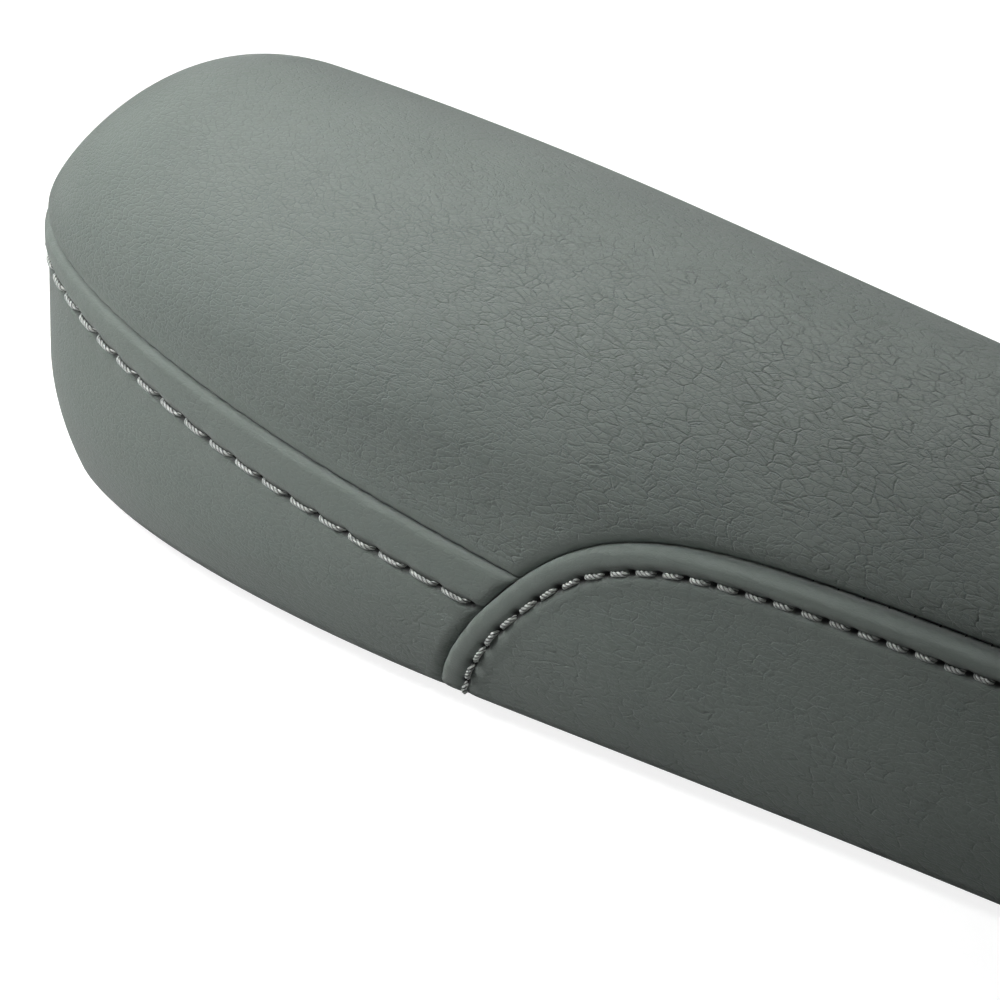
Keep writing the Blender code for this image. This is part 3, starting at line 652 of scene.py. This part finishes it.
def nose_band(leather):
    """The border round the nose: columns along its seam, which lean near the ends to follow the side panels."""
    half = JUNCTION_S - spacing(0.1 * MM, 0.62 * MM, JUNCTION_S)
    s0 = np.concatenate([[-JUNCTION_S - LIP_SLIP], -half[:-1], half[::-1], [JUNCTION_S + LIP_SLIP]])
    down = np.concatenate([[-LIP_SLIP], spacing(0.05 * MM, 0.42 * MM, NOSE_STRIP, 1.35)])
    rest = np.linspace(0, 1, 44)[1:]
    t = np.zeros((len(s0), len(down) + len(rest)))
    s = np.broadcast_to(s0[:, None], t.shape)
    pivot = 0.55 * JUNCTION_S
    # Levels depend on s and the lean depends on the levels, so both settle over a few rounds.
    for _ in range(6):
        seam = nose_seam(s) - HALF_GAP
        t[:, : len(down)] = seam[:, : len(down)] - down
        last = seam[:, len(down) :] - down[-1]
        t[:, len(down) :] = last + (-FLANGE_WIDTH - last) * rest
        reach = front_edge(t) - HALF_GAP
        outer = np.clip((np.abs(s0)[:, None] - pivot) / (JUNCTION_S - pivot), 0, None)
        leaning = np.where(outer > 0, pivot + outer * (reach - pivot), np.abs(s0)[:, None])
        s = np.sign(s0)[:, None] * leaning
    places = np.stack([s.ravel(), t.ravel()], 1)
    mirrored = np.stack([np.abs(places[:, 0]), places[:, 1]], 1)
    to_end = nearest(mirrored, EDGE[EDGE[:, 1] < JUNCTION_T + 2 * MM][::6])[0]
    to_seam = (nose_seam(places[:, 0]) - places[:, 1]).clip(0)
    line = nose_line()
    to_stitch, place = nearest(places, line[::4])
    above = places[:, 1] > nose_seam(places[:, 0]) - nose_drop(places[:, 0])
    offset = np.where(above, -to_stitch, to_stitch)
    relief = raised_band(to_seam, nose_drop(places[:, 0]), NOSE_BAND_HEIGHT, NOSE_GROOVE)
    relief += roll(to_seam, EDGE_ROLL, 1.25 * MM) + scallop(to_seam, places[:, 0], NOSE_SCALLOP)
    relief += stitch_marks(offset, place, NOSE_PITCH)
    relief += puff(places[:, 0], places[:, 1])
    relief *= smooth(places[:, 1], FOOT_LOW, FOOT_HIGH)
    relief += roll(to_end, END_ROLL, 1.3 * MM) * smooth(places[:, 1], -2 * MM, 14 * MM)
    relief = relief.reshape(t.shape)
    relief[:, 0] -= LIP_DEPTH
    relief[0] -= LIP_DEPTH
    relief[-1] -= LIP_DEPTH
    faces = grid_faces(len(s0), t.shape[1])
    grain = 0.25 + 0.3 * smooth(to_seam, 0.8 * NOSE_DROP_BACK, 2 * NOSE_DROP_BACK)
    holes = needle_hole_shade(offset, place, NOSE_PITCH, NOSE_HOLE_SHADE)
    mesh = leather_mesh("nose_band_leather", places, faces, relief.ravel(), grain, holes)
    obj = add_piece("nose_band_leather", mesh, leather, "nose_band")
    thicken(obj)
    return obj


def side_line():
    """The side panel's topstitch as points (s, t), a fixed inset from its seam edge."""
    line = EDGE + right_normal(EDGE) * SIDE_INSET
    return line[(line[:, 1] > 2.5 * MM) & (line[:, 0] < HALF_LOOP - 3 * MM)]


def side_panel(side, name, leather):
    """A side insert: fine rows that follow its seam edge, then coarser ones down to the flange."""
    done = lengths(EDGE)
    count = round(done[-1] / (0.36 * MM))
    base = resample(EDGE, np.linspace(0, done[-1], count))
    inward = right_normal(base)
    inward[-1] = (0, -1)
    along = np.linspace(0, done[-1], count)
    across = np.concatenate([[0.0, LIP_SLIP], spacing(0.06 * MM, 0.4 * MM, SIDE_STRIP, 1.4)[1:]])
    across[1:] += HALF_GAP
    strip = base[:, None, :] + inward[:, None, :] * across[None, :, None]
    inner = strip[:, -1]
    foot_s = inner[0, 0] + (base[-1, 0] - inner[0, 0]) * along / done[-1]
    foot = np.stack([foot_s, np.full(count, -FLANGE_WIDTH)], 1)
    share = np.linspace(0, 1, 62)[1:]
    field = inner[:, None, :] + (foot - inner)[:, None, :] * share[None, :, None]
    grid = np.concatenate([strip, field], 1)
    grid[..., 0] = np.minimum(grid[..., 0], HALF_LOOP - HALF_GAP)
    grid[..., 1] = np.maximum(grid[..., 1], -FLANGE_WIDTH)
    flat = grid.reshape(-1, 2)
    to_edge = np.concatenate([across, np.full(len(share), SIDE_STRIP + HALF_GAP)])
    to_edge = np.broadcast_to(to_edge, grid.shape[:2]).ravel()
    line = side_line()
    to_stitch, place = nearest(flat, line[::4])
    offset = np.where(to_edge < SIDE_INSET, -to_stitch, to_stitch)
    to_tail = HALF_LOOP - flat[:, 0]
    place_edge = np.broadcast_to(along[:, None], grid.shape[:2]).ravel()
    rise = 0.35 + 0.65 * smooth(flat[:, 0], JUNCTION_S - 4 * MM, JUNCTION_S + 45 * MM)
    low = 0.25 + 0.75 * smooth(flat[:, 1], 0, 14 * MM)
    band = raised_band(to_edge, SIDE_INSET, SIDE_BAND_HEIGHT * rise * low, SIDE_GROOVE * low)
    band += roll(to_edge, EDGE_ROLL, (1 + rise) * low * MM)
    band += scallop(to_edge, place_edge, SIDE_SCALLOP) + stitch_marks(offset, place, SIDE_PITCH)
    relief = band * smooth(to_tail, 0, TAIL_FADE) + puff(flat[:, 0] * side, flat[:, 1])
    relief *= smooth(flat[:, 1], FOOT_LOW, FOOT_HIGH)
    relief += roll(to_tail, 1.4 * MM, 1.3 * MM)
    relief = relief.reshape(grid.shape[:2])
    relief[:, 0] -= LIP_DEPTH
    places = np.stack([flat[:, 0] * side, flat[:, 1]], 1)
    faces = grid_faces(count, grid.shape[1])
    grain = 0.1 + 0.5 * smooth(to_edge, SIDE_INSET, 2 * SIDE_INSET)
    holes = needle_hole_shade(offset, place, SIDE_PITCH, SIDE_HOLE_SHADE) * smooth(to_tail, 0, TAIL_FADE)
    mesh = leather_mesh(f"{name}_leather", places, faces, relief.ravel(), grain, holes)
    obj = add_piece(f"{name}_leather", mesh, leather, name)
    thicken(obj)
    return obj


# --- Thread -------------------------------------------------------------------------------------

STITCH_SIDES = 24
STITCH_STEPS = 28
PLIES = 3
TWIST_TURN = 2.7 * MM
STITCH_LIFT = 0.30 * MM
STITCH_DIVE = 1.15 * MM  # how far its ends go down into their holes
LOOP_SIDES = 8
LOOP_REACH = 0.4 * MM  # half width of a seam's own stitch, and how deep in the crease it lies
LOOP_DEPTH = 2.2 * MM
LOOP_SAG = 0.5 * MM


def surface_frame(s, t):
    """Points, directions along the line, directions across it and normals of the base surface."""
    point = surface(s, t)
    forward = np.gradient(point, axis=0)
    forward /= np.linalg.norm(forward, axis=1, keepdims=True)
    step = 0.2 * MM
    du = surface(s + step, t) - surface(s - step, t)
    dv = surface(s, t + step) - surface(s, t - step)
    up = np.cross(du, dv)
    up /= np.linalg.norm(up, axis=1, keepdims=True)
    across = np.cross(up, forward)
    return point, forward, across, up


def thread_piece(name, node, rings, material, plies=None):
    """Closed tubes, each from its own array of rings of points, as one piece."""
    vertices = []
    faces = []
    for tube in rings:
        first = len(vertices)
        count, sides = tube.shape[:2]
        vertices += tube.reshape(-1, 3).tolist()
        for i in range(count - 1):
            for j in range(sides):
                a = first + i * sides + j
                b = first + i * sides + (j + 1) % sides
                faces.append((a, b, b + sides, a + sides))
        faces.append(tuple(first + j for j in range(sides))[::-1])
        faces.append(tuple(first + (count - 1) * sides + j for j in range(sides)))
    mesh = bpy.data.meshes.new(name)
    mesh.from_pydata(vertices, [], faces)
    if plies is not None:
        layer = mesh.attributes.new(PLY_GROOVE_SHADE, "FLOAT", "POINT")
        layer.data.foreach_set("value", np.concatenate(plies).astype(np.float32))
    bm = bmesh.new()
    bm.from_mesh(mesh)
    bmesh.ops.recalc_face_normals(bm, faces=bm.faces)
    bm.to_mesh(mesh)
    bm.free()
    return add_piece(name, mesh, material, node)


def add_thread(name, node, line, side, pitch, visible, thread_radius, material):
    """A row of twisted stitches along a line in the plane of s and t. Each dives into a hole at its ends."""
    total = lengths(line)[-1]
    angle = np.linspace(0, 2 * np.pi, STITCH_SIDES, endpoint=False)
    share = np.linspace(-1, 1, STITCH_STEPS)
    rings = []
    plies = []
    rng = np.random.default_rng(len(name))
    for number in range(int(total / pitch)):
        start = number * pitch + (pitch - visible) / 2
        places = np.linspace(start, start + visible, STITCH_STEPS)
        flat = resample(line, places)
        point, forward, across, up = surface_frame(flat[:, 0] * side, flat[:, 1])
        lift = STITCH_LIFT - STITCH_DIVE * np.abs(share) ** 5 + rng.normal(0, 0.03) * MM
        sway = rng.normal(0, 0.05) * MM + rng.normal(0, 0.06) * MM * share
        centre = point + up * lift[:, None] + across * sway[:, None]
        thick = thread_radius * (1 - 0.25 * np.abs(share) ** 6)
        turn = 2 * np.pi * (places - start) / TWIST_TURN + rng.uniform(0, 2 * np.pi)
        lobes = np.abs(np.cos((angle[None, :] - turn[:, None]) * PLIES / 2)) ** 0.7
        radius = thick[:, None] * (0.5 + 0.5 * lobes)
        # each point's place on its ply, which the material turns into painted shade in the grooves
        plies.append(lobes.ravel())
        wide = across[:, None] * (np.cos(angle)[None, :] * radius)[..., None]
        high = up[:, None] * (np.sin(angle)[None, :] * radius)[..., None]
        rings.append(centre[:, None] + wide + high)
    return thread_piece(name, node, rings, material, plies)


def add_seam_loops(name, node, line, side, material):
    """The construction seam's own stitches, of which only a short loop shows in the crease at each pitch."""
    angle = np.linspace(0, 2 * np.pi, LOOP_SIDES, endpoint=False)[:, None]
    bend = np.linspace(-1, 1, 7)
    rings = []
    for number in range(1, int(lengths(line)[-1] / SEAM_PITCH)):
        flat = resample(line, number * SEAM_PITCH + np.array([-0.2, 0, 0.2]) * MM)
        point, forward, across, up = surface_frame(flat[:, 0] * side, flat[:, 1])
        centre = point[1] + np.outer(bend * LOOP_REACH, across[1] + 0.35 * forward[1])
        centre = centre - np.outer(LOOP_DEPTH + LOOP_SAG * bend**2, up[1])
        ring = SEAM_THREAD_RADIUS * (np.cos(angle) * forward[1] + np.sin(angle) * up[1])
        rings.append(centre[:, None] + ring)
    return thread_piece(name, node, rings, material)


# --- Materials ----------------------------------------------------------------------------------


class Graph:
    """Short ways to add and wire the nodes of one material. Scales are cells or waves per metre."""

    def __init__(self, name, roughness, metallic=0.0, specular=0.5):
        self.material = bpy.data.materials.new(name)
        self.material.use_nodes = True
        self.tree = self.material.node_tree
        self.shader = self.tree.nodes["Principled BSDF"]
        self.set("Roughness", roughness)
        self.set("Metallic", metallic)
        self.set("Specular IOR Level", specular)
        self.place = self.add("TexCoord").outputs["Object"]

    def add(self, kind, **settings):
        node = self.tree.nodes.new(f"ShaderNode{kind}")
        for name, value in settings.items():
            setattr(node, name, value)
        return node

    def set(self, name, value):
        """Sets a socket of the shader to a value, or wires an output to it."""
        if isinstance(value, bpy.types.NodeSocket):
            self.tree.links.new(value, self.shader.inputs[name])
        else:
            self.shader.inputs[name].default_value = value

    def feed(self, node, **inputs):
        for name, value in inputs.items():
            socket = node.inputs[name.replace("_", " ")]
            if isinstance(value, bpy.types.NodeSocket):
                self.tree.links.new(value, socket)
            else:
                socket.default_value = value
        return node

    def stretched(self, scale, vector=None):
        node = self.add("Mapping")
        self.feed(node, Vector=vector or self.place, Scale=scale)
        return node.outputs["Vector"]

    def noise(self, vector, scale, detail=3.0, rough=0.55, distortion=0.0):
        node = self.add("TexNoise")
        self.feed(node, Vector=vector, Scale=scale, Detail=detail, Roughness=rough, Distortion=distortion)
        return node.outputs["Fac"]

    def warped(self, vector, scale, amount):
        """A vector pushed about by coloured noise, so that cells don't look regular."""
        push = self.add("TexNoise")
        self.feed(push, Vector=vector, Scale=scale, Detail=2.0)
        centred = self.add("VectorMath", operation="SUBTRACT")
        self.tree.links.new(push.outputs["Color"], centred.inputs[0])
        centred.inputs[1].default_value = (0.5, 0.5, 0.5)
        scaled = self.add("VectorMath", operation="SCALE")
        self.tree.links.new(centred.outputs[0], scaled.inputs[0])
        scaled.inputs["Scale"].default_value = amount
        total = self.add("VectorMath", operation="ADD")
        self.tree.links.new(vector, total.inputs[0])
        self.tree.links.new(scaled.outputs[0], total.inputs[1])
        return total.outputs[0]

    def cells(self, vector, scale, feature="DISTANCE_TO_EDGE"):
        node = self.add("TexVoronoi", feature=feature)
        self.feed(node, Vector=vector, Scale=scale)
        return node.outputs["Distance"]

    def remap(self, value, low, high, to_low=0.0, to_high=1.0):
        node = self.add("MapRange", interpolation_type="SMOOTHSTEP")
        self.feed(node, Value=value, From_Min=low, From_Max=high, To_Min=to_low, To_Max=to_high)
        return node.outputs["Result"]

    def combine(self, operation, a, b):
        node = self.add("Math", operation=operation)
        for socket, value in zip(node.inputs, (a, b)):
            if isinstance(value, bpy.types.NodeSocket):
                self.tree.links.new(value, socket)
            else:
                socket.default_value = value
        return node.outputs[0]

    def colours(self, factor, low, high):
        node = self.add("Mix", data_type="RGBA")
        self.tree.links.new(factor, node.inputs[0])
        node.inputs[6].default_value = (*low, 1)
        node.inputs[7].default_value = (*high, 1)
        return node.outputs[2]

    def tinted(self, factor, base, tint, blend):
        """The colour of the socket base, mixed with a fixed tint by factor."""
        node = self.add("Mix", data_type="RGBA", blend_type=blend)
        self.tree.links.new(factor, node.inputs[0])
        self.tree.links.new(base, node.inputs[6])
        node.inputs[7].default_value = tint
        return node.outputs[2]

    def bump(self, height, distance, strength=1.0, under=None):
        node = self.add("Bump")
        self.feed(node, Height=height, Distance=distance, Strength=strength)
        if under is not None:
            self.tree.links.new(under, node.inputs["Normal"])
        self.set("Normal", node.outputs["Normal"])
        return node.outputs["Normal"]


LEATHER_DARK = (0.140, 0.166, 0.150)
LEATHER_LIGHT = (0.156, 0.182, 0.165)
# painted shade: the colour is multiplied by this in the grain's creases
CREASE_SHADE_TINT = (0.42, 0.44, 0.44, 1)
# near black, painted into the needle holes and beside the stitches as shade
HOLE_SHADE_COLOUR = (0.004, 0.004, 0.004, 1)
CREASE_SCALE = 640
FINE_SCALE = 1500
PEBBLE_SCALE = 1300
GRAIN_DEPTH = 0.14 * MM


def leather_material(name):
    """Sage grey faux leather: fine creases round long pebbles, bolder to the back and faint on the bands, with
    painted shade in the creases and in the needle holes.
    """
    g = Graph(name, 0.6, specular=0.3)
    y = g.add("SeparateXYZ")
    g.tree.links.new(g.place, y.inputs[0])
    back = g.remap(y.outputs["Y"], -0.13, 0.06, 0.12, 1.0)
    bare = g.add("Attribute", attribute_name=GRAIN).outputs["Fac"]
    strong = g.combine("MULTIPLY", back, bare)
    long = g.stretched((1.0, 0.42, 1.0))
    bent = g.warped(long, 160, 0.0020)
    coarse = g.cells(g.warped(bent, 900, 0.0005), CREASE_SCALE)
    fine = g.cells(g.warped(bent, 2000, 0.0002), FINE_SCALE)
    broken = g.remap(g.noise(g.place, 200, 2.0), 0.36, 0.6, 0.2, 1.0)
    crease = g.remap(coarse, 0.0, 0.085, 1.0, 0.0)
    crease = g.combine("MULTIPLY", crease, g.combine("MULTIPLY", strong, broken))
    small_strength = g.combine("ADD", g.combine("MULTIPLY", bare, 0.35), 0.08)
    small = g.combine("MULTIPLY", g.remap(fine, 0.0, 0.15, 1.0, 0.0), small_strength)
    pebble = g.combine("MULTIPLY", g.noise(long, PEBBLE_SCALE, 2.0), 0.5)
    swell = g.combine("MULTIPLY", g.remap(coarse, 0.0, 0.5), g.combine("MULTIPLY", strong, 0.5))
    height = g.combine("SUBTRACT", g.combine("SUBTRACT", g.combine("ADD", pebble, swell), crease), small)
    under = g.bump(g.noise(g.stretched((1.0, 0.7, 1.0)), 60, 3.0), 0.8 * MM, 0.15)
    g.bump(height, GRAIN_DEPTH, 1.0, under)
    patch = g.noise(g.place, 26, 3.0)
    base = g.colours(g.remap(patch, 0.3, 0.7), LEATHER_DARK, LEATHER_LIGHT)
    # painted shade: the creases are darkened in colour by their depth
    depth = g.combine("ADD", g.combine("MULTIPLY", crease, 0.4), g.combine("MULTIPLY", small, 0.25))
    crease_shaded = g.tinted(depth, base, CREASE_SHADE_TINT, "MULTIPLY")
    # painted shade: the needle holes and the strip beside the stitches are painted near black
    hole_shaded = g.tinted(g.add("Attribute", attribute_name=HOLE_SHADE).outputs["Fac"], crease_shaded, HOLE_SHADE_COLOUR, "MIX")
    g.set("Base Color", hole_shaded)
    g.set("Roughness", g.remap(patch, 0.25, 0.75, 0.56, 0.66))
    g.set("Sheen Weight", 0.15)
    g.set("Sheen Roughness", 0.5)
    return g.material


def thread_material(name):
    """Grey polyester thread: shiny filaments, and painted shade in the grooves between the plies."""
    g = Graph(name, 0.4, specular=0.5)
    fibre = g.noise(g.stretched((1.0, 1.0, 2.4)), 5200, 2.0)
    ply = g.add("Attribute", attribute_name=PLY_GROOVE_SHADE).outputs["Fac"]
    # painted shade: near black in the grooves between the plies, the thread's grey on their crests
    tone = g.combine("MULTIPLY", g.remap(ply, 0.25, 0.9), g.remap(fibre, 0.3, 0.65, 0.55, 1.0))
    g.set("Base Color", g.colours(tone, (0.02, 0.022, 0.021), (0.66, 0.69, 0.66)))
    g.bump(fibre, 0.06 * MM, 0.6)
    return g.material


def foam_material(name, low, high):
    """Open-cell foam between two colours."""
    g = Graph(name, 0.92, specular=0.2)
    pores = g.cells(g.place, 900, "F1")
    g.set("Base Color", g.colours(g.remap(pores, 0.1, 0.6), low, high))
    g.bump(pores, 0.3 * MM, 0.8)
    return g.material


def fibre_material(name, low, high):
    """Polyester wadding: loose strands that lie along the pad."""
    g = Graph(name, 0.95, specular=0.15)
    strands = g.noise(g.warped(g.stretched((1.0, 0.25, 1.0)), 300, 0.003), 900, 5.0)
    g.set("Base Color", g.colours(strands, low, high))
    g.bump(strands, 0.4 * MM, 0.8)
    g.set("Sheen Weight", 0.3)
    return g.material


def felt_material(name):
    """Black non-woven dust cover, pressed with a fine regular dot pattern."""
    g = Graph(name, 0.95, specular=0.2)
    dots = g.cells(g.place, 700, "F1")
    hairs = g.noise(g.place, 2600, 4.0)
    pressed = g.combine("ADD", g.remap(dots, 0.1, 0.5), g.combine("MULTIPLY", hairs, 0.5))
    g.set("Base Color", g.colours(hairs, (0.012, 0.012, 0.013), (0.045, 0.045, 0.048)))
    g.bump(pressed, 0.2 * MM, 0.7)
    return g.material


PLY_THICKNESS = 1.4 * MM


def plywood_material(name):
    """Birch plywood, with its plies as bands of light and dark on the edges."""
    g = Graph(name, 0.7, specular=0.3)
    grain = g.noise(g.stretched((9.0, 0.5, 1.0)), 60, 5.0, 0.6, 0.6)
    z = g.add("SeparateXYZ")
    g.tree.links.new(g.place, z.inputs[0])
    ply = g.combine("PINGPONG", z.outputs["Z"], PLY_THICKNESS)
    tone = g.combine("ADD", grain, g.combine("MULTIPLY", ply, 180))
    g.set("Base Color", g.colours(g.remap(tone, 0.3, 0.9), (0.42, 0.27, 0.14), (0.66, 0.49, 0.30)))
    g.bump(grain, 0.3 * MM, 0.5)
    return g.material


def zinc_material(name):
    """Zinc-plated steel of the staples and tee nuts."""
    g = Graph(name, 0.35, metallic=1.0)
    spangle = g.noise(g.place, 900, 3.0)
    g.set("Base Color", g.colours(spangle, (0.55, 0.56, 0.58), (0.78, 0.79, 0.80)))
    g.set("Roughness", g.remap(spangle, 0.3, 0.7, 0.25, 0.45))
    g.bump(spangle, 0.05 * MM, 0.3)
    return g.material


# --- Filling, board and fixings -----------------------------------------------------------------

FILLING_WELD = 0.01 * MM
FILLING_SWELL = 0.25 * MM
FILLING_WAVE = 6 * MM
SEAM_DENT = 2.2 * MM  # the wadding is pressed in under the seams
DENT_REACH = 6 * MM


def seam_tree():
    """The seams over the wadding as points in space, to measure distances from."""
    edge = EDGE[EDGE[:, 1] > 0][::8]
    nose = np.linspace(-JUNCTION_S, JUNCTION_S, 500)
    lines = [surface(edge[:, 0] * side, edge[:, 1]) for side in (1, -1)]
    lines.append(surface(nose, nose_seam(nose)))
    points = np.concatenate(lines)
    tree = KDTree(len(points))
    for index, point in enumerate(points):
        tree.insert(point, index)
    tree.balance()
    return tree


def soft_filling(node, name, material, swell, seed, dent=0.0):
    """A finer, slightly uneven copy of a soft CAD solid, pressed in by dent under the seams.

    It is shrunk a little so that it stays inside its neighbours.
    """
    mesh = NODES[node].data.copy()
    mesh.name = name
    mesh.materials.clear()
    obj = add_piece(name, mesh, material, node)
    bm = bmesh.new()
    bm.from_mesh(mesh)
    bmesh.ops.remove_doubles(bm, verts=bm.verts, dist=FILLING_WELD)
    bmesh.ops.triangulate(bm, faces=[f for f in bm.faces if len(f.verts) > 4])
    bmesh.ops.subdivide_edges(bm, edges=bm.edges, cuts=1, use_grid_fill=True)
    bm.normal_update()
    shift = drift([v.co for v in bm.verts], FILLING_WAVE, seed)
    normals = [v.normal.copy() for v in bm.verts]
    tree = seam_tree() if dent else None
    middle = Vector((0, 0, HEIGHT / 3))
    for vertex, direction, amount in zip(bm.verts, normals, shift):
        vertex.co += direction * (amount - 0.4) * swell
        if dent and direction.dot(vertex.co - middle) > 0:
            vertex.co -= direction * dent * bell(tree.find(vertex.co)[2], DENT_REACH)
    bm.to_mesh(mesh)
    bm.free()
    mesh.shade_smooth()
    return obj


def finish_node(node, material):
    """Gives a CAD node that shows as it is its material."""
    place = NODES[node].material_slots[0]
    place.link = "OBJECT"
    place.material = material


def add_filling_and_fixings():
    wadding = fibre_material("white_wadding", (0.72, 0.72, 0.70), (0.92, 0.92, 0.90))
    soft = foam_material("cream_foam", (0.62, 0.57, 0.42), (0.86, 0.82, 0.66))
    firm = foam_material("grey_blue_foam", (0.38, 0.43, 0.50), (0.60, 0.66, 0.72))
    soft_filling("wadding", "wadding_wrap", wadding, FILLING_SWELL, 1, SEAM_DENT)
    soft_filling("soft_topper", "soft_topper_foam", soft, FILLING_SWELL, 2)
    soft_filling("firm_core", "firm_core_foam", firm, FILLING_SWELL, 3)
    finish_node("base_board", plywood_material("birch_plywood"))
    finish_node("dust_cover", felt_material("black_dust_cover"))
    zinc = zinc_material("zinc_plate")
    for node in NODES:
        if "staple" in node or node.startswith("tee_nut"):
            finish_node(node, zinc)


# --- Stage --------------------------------------------------------------------------------------

VIEW_AZIMUTH = 139.09
VIEW_ELEVATION = 23.0
VIEW_DISTANCE = 1.5
VIEW_LENS = 361.5
VIEW_SENSOR = 36
AIM = Vector((0.0, 110 * MM - LENGTH / 2, 25 * MM))
AIM_RIGHT = 10.44 * MM
AIM_UP = 1.8 * MM
WORLD_LIGHT = 0.03  # the white backdrop lights the pad only this much
# Soft boxes: name, place, what it points at, diameter, power and, for a gridded one, its spread in degrees
LIGHTS = [
    ("soft_box_nose", (-0.15, -0.65, 0.60), (0, -0.08, 0.04), 0.5, 3.4),
    ("soft_box_top", (0, -0.10, 0.90), (0, -0.05, 0.04), 0.6, 0.5),
    ("soft_box_side", (0.20, -0.20, 0.16), (0.03, -0.06, 0.03), 0.2, 0.22),
    ("gridded_box", (0.35, -0.30, 0.50), (0.02, -0.09, 0.04), 0.3, 0.22, 32),
    ("soft_box_back", (-0.60, 0.45, 0.35), (0, 0.03, 0.03), 0.6, 2.6),
    ("soft_box_low", (-0.20, 0.30, -0.60), (0, 0, 0), 0.5, 3.0),
]
FLOOR_GLOW = 0.85
FLOOR_GREY = (0.35, 0.35, 0.35, 1)
FLOOR_HALF = 3.0
FLOOR_DROP = 0.1 * MM


def add_camera():
    """The photograph's view: azimuth from -Y towards +X, and elevation."""
    a = math.radians(VIEW_AZIMUTH)
    e = math.radians(VIEW_ELEVATION)
    back = Vector((math.sin(a) * math.cos(e), -math.cos(a) * math.cos(e), math.sin(e)))
    right = Vector((math.cos(a), math.sin(a), 0))
    up = back.cross(right)
    camera = bpy.data.objects.new("camera", bpy.data.cameras.new("camera"))
    bpy.context.collection.objects.link(camera)
    look = AIM - right * AIM_RIGHT - up * AIM_UP
    camera.data.lens = VIEW_LENS
    camera.data.sensor_width = VIEW_SENSOR
    camera.data.clip_start = 0.05
    camera.data.clip_end = 20
    camera.location = look + back * VIEW_DISTANCE
    camera.rotation_euler = (-back).to_track_quat("-Z", "Y").to_euler()
    bpy.context.scene.camera = camera


def add_light(name, place, target, size, power, spread=180):
    data = bpy.data.lights.new(name, "AREA")
    data.shape = "DISK"
    data.size = size
    data.energy = power
    data.spread = math.radians(spread)
    light = bpy.data.objects.new(name, data)
    bpy.context.collection.objects.link(light)
    light.visible_camera = False
    light.location = place
    light.rotation_euler = (Vector(target) - Vector(place)).to_track_quat("-Z", "Y").to_euler()


def add_stage():
    """A white backdrop, a pale floor that is clear from below, and the lights."""
    scene = bpy.context.scene
    scene.view_settings.view_transform = "Standard"
    world = bpy.data.worlds.new("studio")
    world.use_nodes = True
    seen = world.node_tree.nodes.new("ShaderNodeLightPath")
    level = world.node_tree.nodes.new("ShaderNodeMapRange")
    level.inputs["To Min"].default_value = WORLD_LIGHT
    level.inputs["To Max"].default_value = 1.0
    backdrop = world.node_tree.nodes["Background"]
    backdrop.inputs["Color"].default_value = (1, 1, 1, 1)
    world.node_tree.links.new(seen.outputs["Is Camera Ray"], level.inputs["Value"])
    world.node_tree.links.new(level.outputs["Result"], backdrop.inputs["Strength"])
    scene.world = world
    mesh = bpy.data.meshes.new("floor")
    corners = [(x * FLOOR_HALF, y * FLOOR_HALF, 0) for x, y in ((-1, -1), (1, -1), (1, 1), (-1, 1))]
    mesh.from_pydata(corners, [], [(0, 1, 2, 3)])
    floor = bpy.data.objects.new("floor", mesh)
    bpy.context.collection.objects.link(floor)
    paint = Graph("pale_floor", 0.9, specular=0.1)
    paint.set("Base Color", FLOOR_GREY)
    paint.set("Emission Color", (1, 1, 1, 1))
    seen = paint.add("LightPath")
    paint.set("Emission Strength", paint.remap(seen.outputs["Is Camera Ray"], 0, 1, to_high=FLOOR_GLOW))
    clear = paint.add("BsdfTransparent")
    either = paint.add("MixShader")
    paint.tree.links.new(paint.add("NewGeometry").outputs["Backfacing"], either.inputs[0])
    paint.tree.links.new(paint.shader.outputs[0], either.inputs[1])
    paint.tree.links.new(clear.outputs[0], either.inputs[2])
    paint.tree.links.new(either.outputs[0], paint.tree.nodes["Material Output"].inputs["Surface"])
    mesh.materials.append(paint.material)
    floor.location.z = CAD_BOX[0].z - FLOOR_DROP
    for light in LIGHTS:
        add_light(*light)


def add_stitching():
    thread = thread_material("grey_thread")
    stitch = (NOSE_PITCH, NOSE_STITCH, NOSE_THREAD_RADIUS)
    add_thread("topstitch_nose_thread", "topstitch_nose", nose_line(), 1, *stitch, thread)
    seam = np.linspace(-JUNCTION_S + MM, JUNCTION_S - MM, 3000)
    seam = np.stack([seam, nose_seam(seam)], 1)
    add_seam_loops("seam_thread_nose_loops", "seam_thread_nose", seam, 1, thread)
    edge = EDGE[(EDGE[:, 1] > 1 * MM) & (EDGE[:, 0] < HALF_LOOP - 6 * MM)]
    stitch = (SIDE_PITCH, SIDE_STITCH, SIDE_THREAD_RADIUS)
    for name, side in (("right", 1), ("left", -1)):
        add_thread(f"topstitch_{name}_thread", f"topstitch_{name}", side_line(), side, *stitch, thread)
        add_seam_loops(f"seam_thread_{name}_loops", f"seam_thread_{name}", edge, side, thread)
    tail = np.linspace(1 * MM, SIDE_SEAM_HEIGHT - 2 * MM, 400)
    tail = np.stack([np.full(len(tail), HALF_LOOP), tail], 1)
    add_seam_loops("seam_thread_tail_loops", "seam_thread_tail", tail, 1, thread)


def main():
    add_camera()
    add_stage()
    leather = leather_material("sage_leather")
    panels = [top_panel(leather), nose_band(leather)]
    panels += [side_panel(1, "side_panel_right", leather), side_panel(-1, "side_panel_left", leather)]
    add_stitching()
    add_filling_and_fixings()


main()
